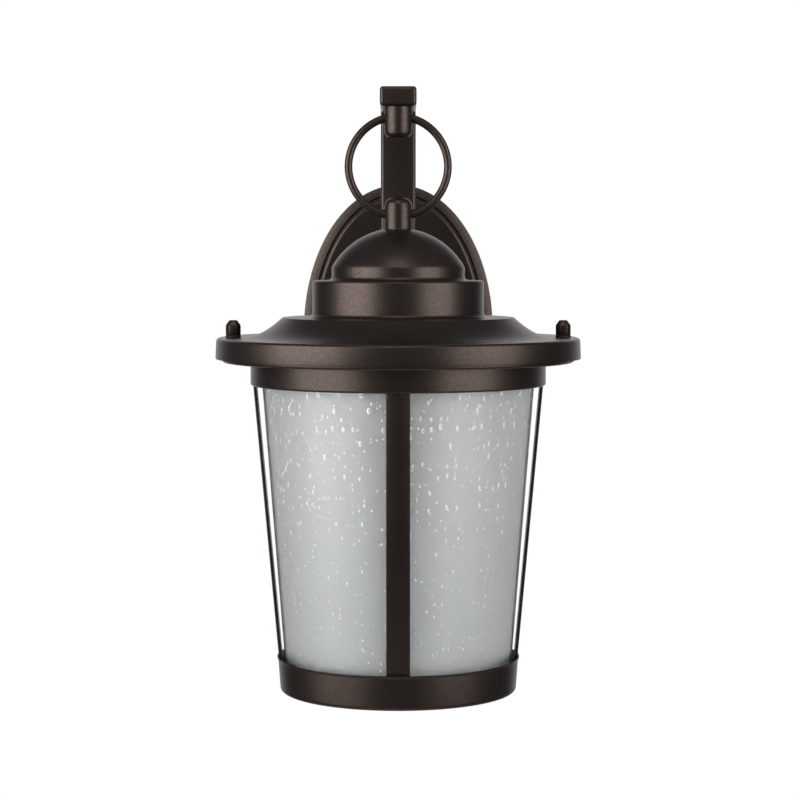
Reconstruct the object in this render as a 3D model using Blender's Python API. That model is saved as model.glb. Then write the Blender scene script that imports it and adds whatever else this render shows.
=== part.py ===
"""Outdoor wall lantern: a glass lantern that hangs on a ring from a bent arm on an oval wall canopy.

Units are metres. +Z is up, the front faces -Y and the wall is the plane y = 0.
The origin is the centre of the mounting bar's back face.
Each function below makes the pieces of one sub-part, from the sizes listed first.
"""

from math import acos, cos, degrees, pi, radians, sin, sqrt, tau

import bmesh
import bpy
from mathutils import Matrix, Vector

MM = 0.001

# Gaps
SEAT = 0.3 * MM  # between two faces that rest on each other
THREAD = 0.3 * MM  # round a screw, all the way round
SWING_GAP = 0.35 * MM  # between the hanger ring and the holes it hangs in

# Where the lantern hangs
ROOF_TO_CANOPY = 16.4 * MM  # back of the roof's rim to the canopy's face
ROUND_STEPS = 48  # faces round the large turned pieces
MEDIUM_STEPS = 20  # faces round the knobs, lampholder and bulb
SMALL_STEPS = 12  # faces round screws, nuts and washers; two to each side of a hexagon

# Wall canopy, oval
CANOPY_WIDTH = 116.0 * MM
CANOPY_HEIGHT = 177.8 * MM
CANOPY_DEPTH = 20.0 * MM
CANOPY_WALL = 1.8 * MM
CANOPY_RIM_WIDTH = 5.6 * MM
CANOPY_RIM_HEIGHT = 6.0 * MM
CANOPY_GROOVE = 1.2 * MM
CANOPY_EDGE = 2.5 * MM
GASKET_THICKNESS = 1.5 * MM
GASKET_WIDTH = 6.0 * MM

# Mounting bar and its studs
BAR_LENGTH = 100.0 * MM
BAR_HEIGHT = 20.0 * MM
BAR_THICKNESS = 2.0 * MM
SLOT_LENGTH = 9.0 * MM
SLOT_WIDTH = 4.4 * MM
SLOT_OFFSET = 22.0 * MM
STUD_SPACING = 76.0 * MM
STUD_RADIUS = 2.1 * MM
NUT_ACROSS = 8.0 * MM
NUT_THICKNESS = 3.2 * MM
CANOPY_NUT_HEIGHT = 9.0 * MM
CANOPY_NUT_CONE = 3.0 * MM
GROUND_SCREW_OFFSET = 11.0 * MM
GROUND_SCREW_RADIUS = 3.6 * MM
GROUND_SCREW_HEAD = 2.4 * MM

# Arm, a solid bar bent twice
ARM_WIDTH = 20.3 * MM
ARM_THICKNESS = 10.6 * MM
ARM_EDGE = 1.2 * MM
ARM_TOP = 139.4 * MM
ARM_FRONT_OVERHANG = 10.0 * MM  # ahead of the lantern's axis
ARM_DROP_BEHIND = 63.0 * MM  # lantern's axis to the front of the upright run
ARM_FOOT_HEIGHT = 30.0 * MM  # middle of the run that meets the canopy
ARM_BEND = 6.0 * MM  # inside radius
ARM_BEND_STEPS = 8
ARM_SCREW_RADIUS = 2.0 * MM
ARM_SCREW_SPACING = 11.0 * MM
ARM_SCREW_LENGTH = 14.0 * MM
ARM_SCREW_HEAD = 3.6 * MM
ARM_SCREW_HEAD_HEIGHT = 2.4 * MM

# Hanger ring and the two knobs it hangs in
RING_RADIUS = 27.46 * MM  # to the middle of the wire
WIRE_RADIUS = 2.3 * MM
UPPER_KNOB_RADIUS = 7.8 * MM
UPPER_KNOB_BARREL = 13.6 * MM
UPPER_KNOB_DOME = 3.4 * MM
UPPER_HOLE_ABOVE_DOME = 11.6 * MM
LOWER_KNOB_RADIUS = 7.7 * MM
LOWER_KNOB_BARREL = 12.8 * MM
LOWER_KNOB_DOME = 4.5 * MM
LOWER_HOLE_BELOW_TOP = 10.3 * MM
KNOB_SPIGOT_RADIUS = 2.5 * MM
KNOB_SPIGOT_LENGTH = 4.0 * MM

# Roof, one turned shell from the knob down to the rim
ROOF_WALL = 2.2 * MM
DOME_RADIUS = 42.2 * MM
DOME_EDGE_RADIUS = 36.9 * MM
DOME_BAND = 4.6 * MM
DOME_FILLET = 2.8 * MM
COLLAR_RADIUS = 47.7 * MM
COLLAR_HEIGHT = 20.0 * MM
COLLAR_EDGE = 1.3 * MM
COLLAR_FILLET = 2.4 * MM
SHOULDER_RADIUS = 64.5 * MM
SHOULDER_FALL = 0.6 * MM
COVE_RADIUS = 85.0 * MM
COVE_DROP = 11.1 * MM
COVE_HOLLOW = 1.7  # how quickly the cove levels out
RIM_RADIUS = 101.6 * MM
RIM_HEIGHT = 11.5 * MM
RIM_EDGE = 2.0 * MM
RIM_FLARE = 0.4 * MM

# Cage under the roof
PAN_CLEARANCE = 1.0 * MM  # inside the roof's rim
PAN_WALL = 1.5 * MM
PAN_BELOW_RIM = 2.0 * MM
PAN_OPENING = 62.0 * MM
UPPER_RING_RADIUS = 82.2 * MM
UPPER_RING_HEIGHT = 12.6 * MM
UPPER_RING_WALL = 1.2 * MM
BASE_RING_RADIUS = 67.3 * MM
BASE_RING_LIP = 0.6 * MM
BASE_LIP_WALL = 0.5 * MM
BASE_LIP_HEIGHT = 1.6 * MM
BASE_RING_TAPER = 1.1 * MM
BASE_RING_HEIGHT = 19.4 * MM
BASE_RING_WALL = 1.0 * MM
BASE_RING_EDGE = 2.4 * MM
BASE_OPENING = 48.0 * MM
CAGE_HEIGHT = 152.0 * MM  # between the two rings
STRIP_WIDTH = 12.7 * MM
STRIP_THICKNESS = 1.6 * MM
STRIP_GAP = 0.5 * MM

# Studs and cap nuts that hold the cage to the roof
CAP_NUT_INSET = 9.7 * MM  # in from the rim
CAP_STUD_RADIUS = 2.0 * MM
CAP_NUT_ACROSS = 7.4 * MM
CAP_NUT_HEIGHT = 8.4 * MM
CAP_NUT_CONE = 2.8 * MM
CAP_NUT_TOP = 0.52  # top width as a share of the width across
WASHER_RADIUS = 4.25 * MM
WASHER_THICKNESS = 0.6 * MM

# Glasses
GLASS_WALL = 2.5 * MM
GLASS_TOP_CLEARANCE = 2.3 * MM  # inside the strips
GLASS_FOOT_CLEARANCE = 0.5 * MM
LINER_GAP = 2.1 * MM
LINER_WALL = 1.8 * MM
GLASS_GASKET_THICKNESS = 1.4 * MM

# Lampholder and bulb
NIPPLE_RADIUS = 4.8 * MM
NIPPLE_BORE = 3.0 * MM
NIPPLE_IN_KNOB = 3.0 * MM
NIPPLE_BELOW_ROOF = 11.0 * MM
LOCKNUT_ACROSS = 15.0 * MM
HOLDER_CAP_RADIUS = 14.0 * MM
HOLDER_CAP_HEIGHT = 11.0 * MM
HOLDER_RADIUS = 19.0 * MM
HOLDER_HEIGHT = 46.0 * MM
SHELL_RADIUS = 13.6 * MM
SHELL_WALL = 0.5 * MM
SHELL_DEPTH = 26.0 * MM
BULB_CAP_RADIUS = 12.6 * MM
BULB_CAP_LENGTH = 22.0 * MM
BULB_RADIUS = 30.0 * MM
BULB_NECK_RADIUS = 13.6 * MM
BULB_LENGTH = 84.0 * MM
BULB_WALL = 0.8 * MM

# Leads and their grommets
LEAD_RADIUS = 1.2 * MM
LEAD_SPREAD = 2.2 * MM
GROMMET_RADIUS = 6.4 * MM
GROMMET_BORE = 3.6 * MM
GROMMET_FLANGE = 1.2 * MM
CANOPY_GROMMET_HEIGHT = 10.0 * MM
COLLAR_GROMMET_SLACK = 0.7 * MM  # over the roof's wall, because the collar is round
WIRE_NUT_RADIUS = 5.0 * MM
WIRE_NUT_LENGTH = 18.0 * MM
WIRE_NUT_OFFSET = 16.0 * MM
WIRE_NUT_TOP = -28.0 * MM
WIRE_NUT_Y = -8.5 * MM
WIRE_NUT_GRIP = 4.0 * MM

# Widths that follow from the sizes above
REACH = CANOPY_DEPTH + ROOF_TO_CANOPY + RIM_RADIUS  # wall to the lantern's axis
AXIS = Vector((0.0, -REACH, 0.0))
PAN_RADIUS = RIM_RADIUS - RIM_FLARE - ROOF_WALL - PAN_CLEARANCE
CAP_NUT_OFFSET = RIM_RADIUS - CAP_NUT_INSET
COLLAR_GROMMET_GRIP = ROOF_WALL + COLLAR_GROMMET_SLACK
STRIP_TOP_FACE = UPPER_RING_RADIUS - UPPER_RING_WALL - STRIP_GAP
STRIP_FOOT_FACE = BASE_RING_RADIUS - BASE_RING_WALL - 1.4 * STRIP_GAP
GLASS_TOP_RADIUS = STRIP_TOP_FACE - STRIP_THICKNESS - GLASS_TOP_CLEARANCE
GLASS_BOTTOM_RADIUS = (
    STRIP_FOOT_FACE - BASE_RING_TAPER - STRIP_THICKNESS - GLASS_FOOT_CLEARANCE
)

# Heights that follow from the sizes above
ARM_UNDERSIDE = ARM_TOP - ARM_THICKNESS
UPPER_KNOB_TOP = ARM_UNDERSIDE - SEAT
UPPER_KNOB_END = UPPER_KNOB_TOP - UPPER_KNOB_BARREL - UPPER_KNOB_DOME
RING_TOP = UPPER_KNOB_END + UPPER_HOLE_ABOVE_DOME
RING_BOTTOM = RING_TOP - 2 * RING_RADIUS
RING_CENTRE = RING_TOP - RING_RADIUS
LOWER_KNOB_TOP = RING_BOTTOM + LOWER_HOLE_BELOW_TOP
LOWER_KNOB_BASE = LOWER_KNOB_TOP - LOWER_KNOB_DOME - LOWER_KNOB_BARREL
BOSS_RADIUS = LOWER_KNOB_RADIUS + 0.5 * MM
BOSS_TOP = LOWER_KNOB_BASE - SEAT
DOME_CENTRE = BOSS_TOP - sqrt(DOME_RADIUS**2 - BOSS_RADIUS**2)
DOME_EDGE_HEIGHT = DOME_CENTRE + sqrt(DOME_RADIUS**2 - DOME_EDGE_RADIUS**2)
SHELF_HEIGHT = DOME_EDGE_HEIGHT - DOME_BAND - DOME_FILLET
COLLAR_FOOT = SHELF_HEIGHT - COLLAR_HEIGHT
SHOULDER_HEIGHT = COLLAR_FOOT - SHOULDER_FALL
RIM_TOP = SHOULDER_HEIGHT - COVE_DROP
RIM_BOTTOM = RIM_TOP - RIM_HEIGHT
PAN_BOTTOM = RIM_BOTTOM - PAN_BELOW_RIM
UPPER_RING_TOP = PAN_BOTTOM - SEAT
UPPER_RING_BOTTOM = UPPER_RING_TOP - UPPER_RING_HEIGHT
BASE_TOP = UPPER_RING_BOTTOM - CAGE_HEIGHT
BASE_BOTTOM = BASE_TOP - BASE_RING_HEIGHT
BASE_FLOOR = BASE_BOTTOM + BASE_RING_WALL
GLASS_TOP = PAN_BOTTOM - GLASS_GASKET_THICKNESS - 2 * SEAT
GLASS_BOTTOM = BASE_FLOOR + SEAT
CANOPY_BACK = -GASKET_THICKNESS - SEAT
CANOPY_FRONT = -CANOPY_DEPTH
ROOF_UNDERSIDE = BOSS_TOP - ROOF_WALL
HOLDER_CAP_TOP = ROOF_UNDERSIDE - 7.0 * MM
HOLDER_TOP = HOLDER_CAP_TOP - HOLDER_CAP_HEIGHT - SEAT
HOLDER_BOTTOM = HOLDER_TOP - HOLDER_HEIGHT
SHELL_TOP = HOLDER_BOTTOM + SHELL_DEPTH
BULB_CAP_TOP = SHELL_TOP - SHELL_WALL - 3.0 * MM
BULB_CAP_END = BULB_CAP_TOP - BULB_CAP_LENGTH
COLLAR_GROMMET_HEIGHT = COLLAR_FOOT + 0.5 * COLLAR_HEIGHT


def clear_scene():
    for old in list(bpy.data.objects):
        bpy.data.objects.remove(old)


def material(name, colour, roughness, metallic=0.0, alpha=1.0):
    found = bpy.data.materials.new(name)
    found.use_nodes = True
    shader = found.node_tree.nodes["Principled BSDF"]
    shader.inputs["Base Color"].default_value = (*colour, 1.0)
    shader.inputs["Roughness"].default_value = roughness
    shader.inputs["Metallic"].default_value = metallic
    shader.inputs["Alpha"].default_value = alpha
    return found


def bronze(name):
    return material(name, (0.045, 0.036, 0.031), 0.42, 0.55)


def steel(name):
    return material(name, (0.55, 0.55, 0.56), 0.35, 1.0)


def pivot(name, place, parent=None):
    """An empty on a joint's axis, which carries the pieces that move about it."""
    empty = bpy.data.objects.new(name, None)
    bpy.context.collection.objects.link(empty)
    put(empty, place, parent)
    return empty


def put(thing, place, parent):
    """Sets a thing at a place in the world, under its parent."""
    origin = Vector((0.0, 0.0, 0.0))
    above = parent
    while above:
        origin += above.location
        above = above.parent
    thing.parent = parent
    thing.location = Vector(place) - origin


def piece(name, shape, place, parent, finish, smooth_angle=35.0):
    """Turns a bmesh, whose points are measured from the piece's own origin, into an object."""
    mesh = bpy.data.meshes.new(name)
    shape.to_mesh(mesh)
    shape.free()
    mesh.shade_smooth()
    mesh.set_sharp_from_angle(angle=radians(smooth_angle))
    mesh.materials.append(finish)
    made = bpy.data.objects.new(name, mesh)
    bpy.context.collection.objects.link(made)
    put(made, place, parent)
    return made


def cut(target, shape, place, label):
    """Cuts a shape out of a piece, with a Boolean and a hidden cutter."""
    mesh = bpy.data.meshes.new(label)
    shape.to_mesh(mesh)
    shape.free()
    cutter = bpy.data.objects.new(label, mesh)
    bpy.context.collection.objects.link(cutter)
    cutter.location = place
    cutter.hide_render = True
    cutter.display_type = "WIRE"
    boolean = target.modifiers.new(label, "BOOLEAN")
    boolean.operation = "DIFFERENCE"
    boolean.object = cutter


def arc(centre, radius, start, end, steps):
    """Points round an arc in the (radius, height) plane, angles in degrees from outwards."""
    points = []
    for step in range(steps + 1):
        angle = radians(start + (end - start) * step / steps)
        points.append((centre[0] + radius * cos(angle), centre[1] + radius * sin(angle)))
    return points


def turned(outline, steps=ROUND_STEPS):
    """Spins an outline of (radius, height) points round Z. It closes unless both ends are on the axis."""
    shape = bmesh.new()
    points = [shape.verts.new((r, 0.0, z)) for r, z in outline]
    pairs = list(zip(points, points[1:]))
    on_axis = 1e-4 * MM
    if outline[0][0] > on_axis or outline[-1][0] > on_axis:
        pairs.append((points[-1], points[0]))
    edges = [shape.edges.new(pair) for pair in pairs]
    bmesh.ops.spin(
        shape,
        geom=points + edges,
        axis=(0, 0, 1),
        cent=(0, 0, 0),
        angle=tau,
        steps=steps,
        use_merge=True,
    )
    bmesh.ops.remove_doubles(shape, verts=shape.verts, dist=1e-7)
    bmesh.ops.recalc_face_normals(shape, faces=shape.faces)
    return shape


def towards_wall(shape):
    """Turns a shape made along +Z so that it lies along +Y."""
    bmesh.ops.rotate(shape, verts=shape.verts, matrix=Matrix.Rotation(-pi / 2, 3, "X"))
    return shape


def rod(radius, bottom, top, steps=SMALL_STEPS, bore=0.0):
    """A round bar or tube along Z."""
    return turned([(bore, bottom), (radius, bottom), (radius, top), (bore, top)], steps)


def drill(radius, bottom, top):
    """A round cutter along Z, turned so that its facets don't line up with the edges it cuts."""
    shape = rod(radius, bottom, top)
    bmesh.ops.rotate(shape, verts=shape.verts, matrix=Matrix.Rotation(pi / SMALL_STEPS / 2, 3, "Z"))
    return shape


def block(size, centre=(0.0, 0.0, 0.0)):
    shape = bmesh.new()
    bmesh.ops.create_cube(shape, size=1.0)
    bmesh.ops.scale(shape, vec=size, verts=shape.verts)
    bmesh.ops.translate(shape, vec=centre, verts=shape.verts)
    return shape


def lofted(loops, capped):
    """Skins loops of equal length. The last loop joins the first, unless both ends are capped."""
    shape = bmesh.new()
    rings = [[shape.verts.new(point) for point in loop] for loop in loops]
    pairs = list(zip(rings, rings[1:]))
    if capped:
        shape.faces.new(rings[0])
        shape.faces.new(rings[-1])
    else:
        pairs.append((rings[-1], rings[0]))
    for ring, following in pairs:
        for index in range(len(ring)):
            shape.faces.new((ring[index - 1], ring[index], following[index], following[index - 1]))
    bmesh.ops.recalc_face_normals(shape, faces=shape.faces)
    return shape


def oval(inset, y):
    """The canopy's outline, drawn in by an inset, at a distance from the wall."""
    half_width = CANOPY_WIDTH / 2 - inset
    half_height = CANOPY_HEIGHT / 2 - inset
    angles = [tau * step / ROUND_STEPS for step in range(ROUND_STEPS)]
    return [(half_width * sin(angle), y, half_height * cos(angle)) for angle in angles]


def circle(radius, z):
    angles = [tau * step / SMALL_STEPS for step in range(SMALL_STEPS)]
    return [(radius * cos(angle), radius * sin(angle), z) for angle in angles]


def hexagon(across, z):
    """A hexagon with as many points as a circle, so that the two can be skinned together."""
    points = []
    for step in range(SMALL_STEPS):
        angle = tau * step / SMALL_STEPS
        off_flat = (angle + pi / 6) % (pi / 3) - pi / 6
        radius = across / 2 / cos(off_flat)
        points.append((radius * cos(angle), radius * sin(angle), z))
    return points


def nut(across, thickness, bore):
    """A plain hexagonal nut that stands on its origin."""
    loops = [circle(bore, 0.0), hexagon(across, 0.0)]
    loops += [hexagon(across, thickness), circle(bore, thickness)]
    return lofted(loops, capped=False)


def cap_nut(across, height, cone, top_share, bore, bore_depth):
    """A hexagonal nut with a blind bore and a tapered, flat-topped cap, which stands on its origin."""
    loops = [circle(bore, bore_depth), circle(bore, 0.0), hexagon(across, 0.0)]
    loops += [hexagon(across, height - cone), hexagon(across * top_share, height)]
    return lofted(loops, capped=True)


def wire_torus(radius, wire, around=40, across=10):
    """A ring of round wire in the XZ plane."""
    outline = arc((radius, 0.0), wire, 0.0, 360.0 * (across - 1) / across, across - 1)
    shape = turned(outline, around)
    bmesh.ops.rotate(shape, verts=shape.verts, matrix=Matrix.Rotation(pi / 2, 3, "X"))
    return shape


def lead(name, points, parent, finish):
    """An insulated lead along a smooth curve through the points."""
    curve = bpy.data.curves.new(name, "CURVE")
    curve.dimensions = "3D"
    curve.bevel_depth = LEAD_RADIUS
    curve.bevel_resolution = 2
    curve.use_fill_caps = True
    spline = curve.splines.new("POLY")
    smooth = smoothed([Vector(point) for point in points], 2)
    spline.points.add(len(smooth) - 1)
    for target, point in zip(spline.points, smooth):
        target.co = (*point, 1.0)
    curve.materials.append(finish)
    made = bpy.data.objects.new(name, curve)
    bpy.context.collection.objects.link(made)
    put(made, (0.0, 0.0, 0.0), parent)
    return made


def smoothed(points, parts):
    """Points on a Catmull-Rom curve through the given ones, with so many parts to each span."""
    ends = [2 * points[0] - points[1], *points, 2 * points[-1] - points[-2]]
    found = [points[0]]
    for before, start, end, after in zip(ends, ends[1:], ends[2:], ends[3:]):
        for step in range(1, parts + 1):
            t = step / parts
            found.append(
                0.5
                * (
                    2 * start
                    + (end - before) * t
                    + (2 * before - 5 * start + 4 * end - after) * t**2
                    + (3 * start - before - 3 * end + after) * t**3
                )
            )
    return found


def grommet(name, wall, place, parent):
    """A rubber sleeve along Y with a flange on each side of a sheet wall, its middle at the place."""
    half = wall / 2 + SEAT
    hole = GROMMET_RADIUS - GROMMET_FLANGE - SEAT
    outline = [(GROMMET_BORE, -half - GROMMET_FLANGE), (GROMMET_RADIUS, -half - GROMMET_FLANGE)]
    outline += [(GROMMET_RADIUS, -half), (hole, -half), (hole, half), (GROMMET_RADIUS, half)]
    outline += [(GROMMET_RADIUS, half + GROMMET_FLANGE), (GROMMET_BORE, half + GROMMET_FLANGE)]
    rubber = material(name, (0.03, 0.03, 0.03), 0.8)
    return piece(name, towards_wall(turned(outline, SMALL_STEPS)), place, parent, rubber)


def make_canopy(wall):
    """The oval cover over the wall box, with its foam gasket."""
    edge_inset = CANOPY_RIM_WIDTH + CANOPY_GROOVE
    step_y = -CANOPY_RIM_HEIGHT + CANOPY_GROOVE
    inside_y = CANOPY_FRONT + CANOPY_WALL
    loops = [oval(edge_inset + CANOPY_EDGE + CANOPY_WALL / 2, inside_y)]
    loops += [oval(edge_inset + CANOPY_WALL, inside_y + CANOPY_EDGE / 2)]
    loops += [oval(edge_inset + CANOPY_WALL, step_y + CANOPY_WALL)]
    loops += [oval(CANOPY_WALL, step_y + CANOPY_WALL)]
    loops += [oval(CANOPY_WALL, CANOPY_BACK), oval(0.0, CANOPY_BACK)]
    loops += [oval(0.0, -CANOPY_RIM_HEIGHT + CANOPY_GROOVE), oval(CANOPY_GROOVE, -CANOPY_RIM_HEIGHT)]
    loops += [oval(CANOPY_RIM_WIDTH - CANOPY_GROOVE / 2, -CANOPY_RIM_HEIGHT)]
    loops += [oval(CANOPY_RIM_WIDTH, step_y), oval(edge_inset - CANOPY_GROOVE / 2, step_y)]
    loops += [oval(edge_inset, CANOPY_FRONT + CANOPY_EDGE)]
    loops += [oval(edge_inset + 0.3 * CANOPY_EDGE, CANOPY_FRONT + 0.3 * CANOPY_EDGE)]
    loops += [oval(edge_inset + CANOPY_EDGE, CANOPY_FRONT)]
    canopy = piece("canopy", lofted(loops, capped=True), (0, 0, 0), wall, bronze("canopy"))
    for side, word in ((-1, "left"), (1, "right")):
        hole = towards_wall(drill(STUD_RADIUS + THREAD, -5 * MM, 5 * MM))
        cut(canopy, hole, (side * STUD_SPACING / 2, CANOPY_FRONT, 0), f"canopy_{word}_stud_hole")
        hole = towards_wall(drill(ARM_SCREW_RADIUS + THREAD, -5 * MM, 5 * MM))
        place = (side * ARM_SCREW_SPACING / 2, CANOPY_FRONT, ARM_FOOT_HEIGHT)
        cut(canopy, hole, place, f"canopy_{word}_arm_hole")
    hole = towards_wall(drill(GROMMET_RADIUS - GROMMET_FLANGE, -5 * MM, 5 * MM))
    cut(canopy, hole, (0, CANOPY_FRONT, CANOPY_GROMMET_HEIGHT), "canopy_grommet_hole")
    inset = CANOPY_WALL / 2
    loops = [oval(inset, 0), oval(inset, -GASKET_THICKNESS)]
    loops += [oval(inset + GASKET_WIDTH, -GASKET_THICKNESS), oval(inset + GASKET_WIDTH, 0)]
    foam = material("canopy_gasket", (0.05, 0.05, 0.05), 0.95)
    piece("canopy_gasket", lofted(loops, capped=False), (0, 0, 0), wall, foam)


def make_mounting_bar(wall):
    """The flat steel bar screwed to the wall box, and what is screwed to it."""
    shape = block((BAR_LENGTH, BAR_THICKNESS, BAR_HEIGHT))
    place = (0, -BAR_THICKNESS / 2, 0)
    bar = piece("mounting_bar", shape, place, wall, steel("mounting_bar"))
    for side, word in ((-1, "left"), (1, "right")):
        x = side * STUD_SPACING / 2
        hole = towards_wall(drill(STUD_RADIUS + THREAD, -5 * MM, 5 * MM))
        cut(bar, hole, (x, 0, 0), f"bar_{word}_stud_hole")
        slot = block((SLOT_LENGTH, 10 * MM, SLOT_WIDTH))
        cut(bar, slot, (side * SLOT_OFFSET, 0, 0), f"bar_{word}_slot")
        tip = CANOPY_FRONT - SEAT - CANOPY_NUT_HEIGHT / 2
        stud = towards_wall(rod(STUD_RADIUS, tip, -SEAT))
        piece(f"canopy_stud_{word}", stud, (x, 0, 0), wall, steel(f"canopy_stud_{word}"))
        locknut = towards_wall(nut(NUT_ACROSS, NUT_THICKNESS, STUD_RADIUS + THREAD))
        place = (x, -BAR_THICKNESS - SEAT - NUT_THICKNESS, 0)
        piece(f"stud_locknut_{word}", locknut, place, wall, steel(f"stud_locknut_{word}"))
        bore_depth = CANOPY_NUT_HEIGHT / 2 + SEAT
        bore = STUD_RADIUS + THREAD
        cap = cap_nut(NUT_ACROSS, CANOPY_NUT_HEIGHT, CANOPY_NUT_CONE, 0.5, bore, bore_depth)
        bmesh.ops.rotate(cap, verts=cap.verts, matrix=Matrix.Rotation(pi / 2, 3, "X"))
        place = (x, CANOPY_FRONT - SEAT, 0)
        piece(f"canopy_cap_nut_{word}", cap, place, wall, bronze(f"canopy_cap_nut_{word}"))
    ground_hole = towards_wall(drill(GROUND_SCREW_RADIUS / 2 + THREAD, -5 * MM, 5 * MM))
    cut(bar, ground_hole, (GROUND_SCREW_OFFSET, 0, 0), "bar_ground_hole")
    head_back = -BAR_THICKNESS - SEAT
    shank = GROUND_SCREW_RADIUS / 2
    head_front = head_back - GROUND_SCREW_HEAD
    outline = [(0.0, head_front), (GROUND_SCREW_RADIUS, head_front)]
    outline += [(GROUND_SCREW_RADIUS, head_back), (shank, head_back), (shank, -SEAT), (0.0, -SEAT)]
    green = material("ground_screw", (0.05, 0.3, 0.08), 0.4, 0.6)
    screw = towards_wall(turned(outline, SMALL_STEPS))
    piece("ground_screw", screw, (GROUND_SCREW_OFFSET, 0, 0), wall, green)


def arm_section(y, z, slope, inset):
    """The arm's section: a rectangle with chamfered corners, square to a slope in the YZ plane."""
    half_width = ARM_WIDTH / 2 - inset
    half_thickness = ARM_THICKNESS / 2 - inset
    corner = ARM_EDGE / 2
    points = []
    for across, up in ((1, 1), (-1, 1), (-1, -1), (1, -1)):
        first = (across * (half_width - corner), up * half_thickness)
        second = (across * half_width, up * (half_thickness - corner))
        points += [second, first] if across == up else [first, second]
    return [(x, y - u * sin(slope), z + u * cos(slope)) for x, u in points]


def make_arm(wall):
    """A bar that leaves the canopy, turns up, and turns forward over the lantern."""
    bend = ARM_BEND + ARM_THICKNESS / 2
    upright_y = -REACH + ARM_DROP_BEHIND + ARM_THICKNESS / 2
    top_z = ARM_TOP - ARM_THICKNESS / 2
    front_y = -REACH - ARM_FRONT_OVERHANG
    back_y = CANOPY_FRONT - SEAT
    loops = [arm_section(front_y, top_z, 0.0, ARM_EDGE / 2)]
    loops += [arm_section(front_y + ARM_EDGE / 2, top_z, 0.0, 0.0)]
    for step in range(ARM_BEND_STEPS + 1):
        turn = pi / 2 * step / ARM_BEND_STEPS
        y = upright_y - bend + bend * sin(turn)
        z = top_z - bend + bend * cos(turn)
        loops.append(arm_section(y, z, -turn, 0.0))
    for step in range(ARM_BEND_STEPS + 1):
        turn = pi / 2 * (1 - step / ARM_BEND_STEPS)
        y = upright_y + bend - bend * sin(turn)
        z = ARM_FOOT_HEIGHT + bend - bend * cos(turn)
        loops.append(arm_section(y, z, -turn, 0.0))
    loops.append(arm_section(back_y, ARM_FOOT_HEIGHT, 0.0, 0.0))
    arm = piece("arm", lofted(loops, capped=True), (0, 0, 0), wall, bronze("arm"))
    spigot_hole = drill(KNOB_SPIGOT_RADIUS + SEAT, -5 * MM, KNOB_SPIGOT_LENGTH + SEAT)
    cut(arm, spigot_hole, (0, -REACH, ARM_UNDERSIDE), "arm_spigot_hole")
    head_back = CANOPY_FRONT + CANOPY_WALL + SEAT
    tip = head_back - ARM_SCREW_LENGTH
    head_edge = 1.4 * MM
    head_top = head_back + ARM_SCREW_HEAD_HEIGHT
    outline = [(0.0, tip), (ARM_SCREW_RADIUS, tip)]
    outline += [(ARM_SCREW_RADIUS, head_back), (ARM_SCREW_HEAD, head_back)]
    outline += [(ARM_SCREW_HEAD, head_back + head_edge), (ARM_SCREW_HEAD - head_edge, head_top)]
    outline += [(0.0, head_top)]
    for side, word in ((-1, "left"), (1, "right")):
        x = side * ARM_SCREW_SPACING / 2
        hole = towards_wall(drill(ARM_SCREW_RADIUS + THREAD, -ARM_SCREW_LENGTH, 5 * MM))
        cut(arm, hole, (x, back_y, ARM_FOOT_HEIGHT), f"arm_{word}_screw_hole")
        screw = towards_wall(turned(outline, SMALL_STEPS))
        piece(f"arm_screw_{word}", screw, (x, 0, ARM_FOOT_HEIGHT), wall, steel(f"arm_screw_{word}"))


def make_upper_knob(wall):
    """The round boss riveted up into the arm, with the hole that the ring hangs in."""
    base = (UPPER_KNOB_RADIUS - UPPER_KNOB_DOME, UPPER_KNOB_END + UPPER_KNOB_DOME)
    spigot_top = ARM_UNDERSIDE + KNOB_SPIGOT_LENGTH
    outline = [(0.0, UPPER_KNOB_END)] + arc(base, UPPER_KNOB_DOME, -90, 0, 3)
    outline += [(UPPER_KNOB_RADIUS, UPPER_KNOB_TOP), (KNOB_SPIGOT_RADIUS, UPPER_KNOB_TOP)]
    outline += [(KNOB_SPIGOT_RADIUS, spigot_top), (0.0, spigot_top)]
    shape = turned(outline, MEDIUM_STEPS)
    knob = piece("upper_knob", shape, AXIS, wall, bronze("upper_knob"))
    hole = wire_torus(RING_RADIUS, WIRE_RADIUS + SWING_GAP)
    cut(knob, hole, AXIS + Vector((0, 0, RING_CENTRE)), "upper_knob_ring_hole")


def make_hanger_ring(ring):
    """The round wire ring that carries the lantern."""
    shape = wire_torus(RING_RADIUS, WIRE_RADIUS)
    bmesh.ops.translate(shape, vec=(0, 0, RING_CENTRE - RING_TOP), verts=shape.verts)
    piece("hanger_ring", shape, AXIS + Vector((0, 0, RING_TOP)), ring, bronze("hanger_ring"))


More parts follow.
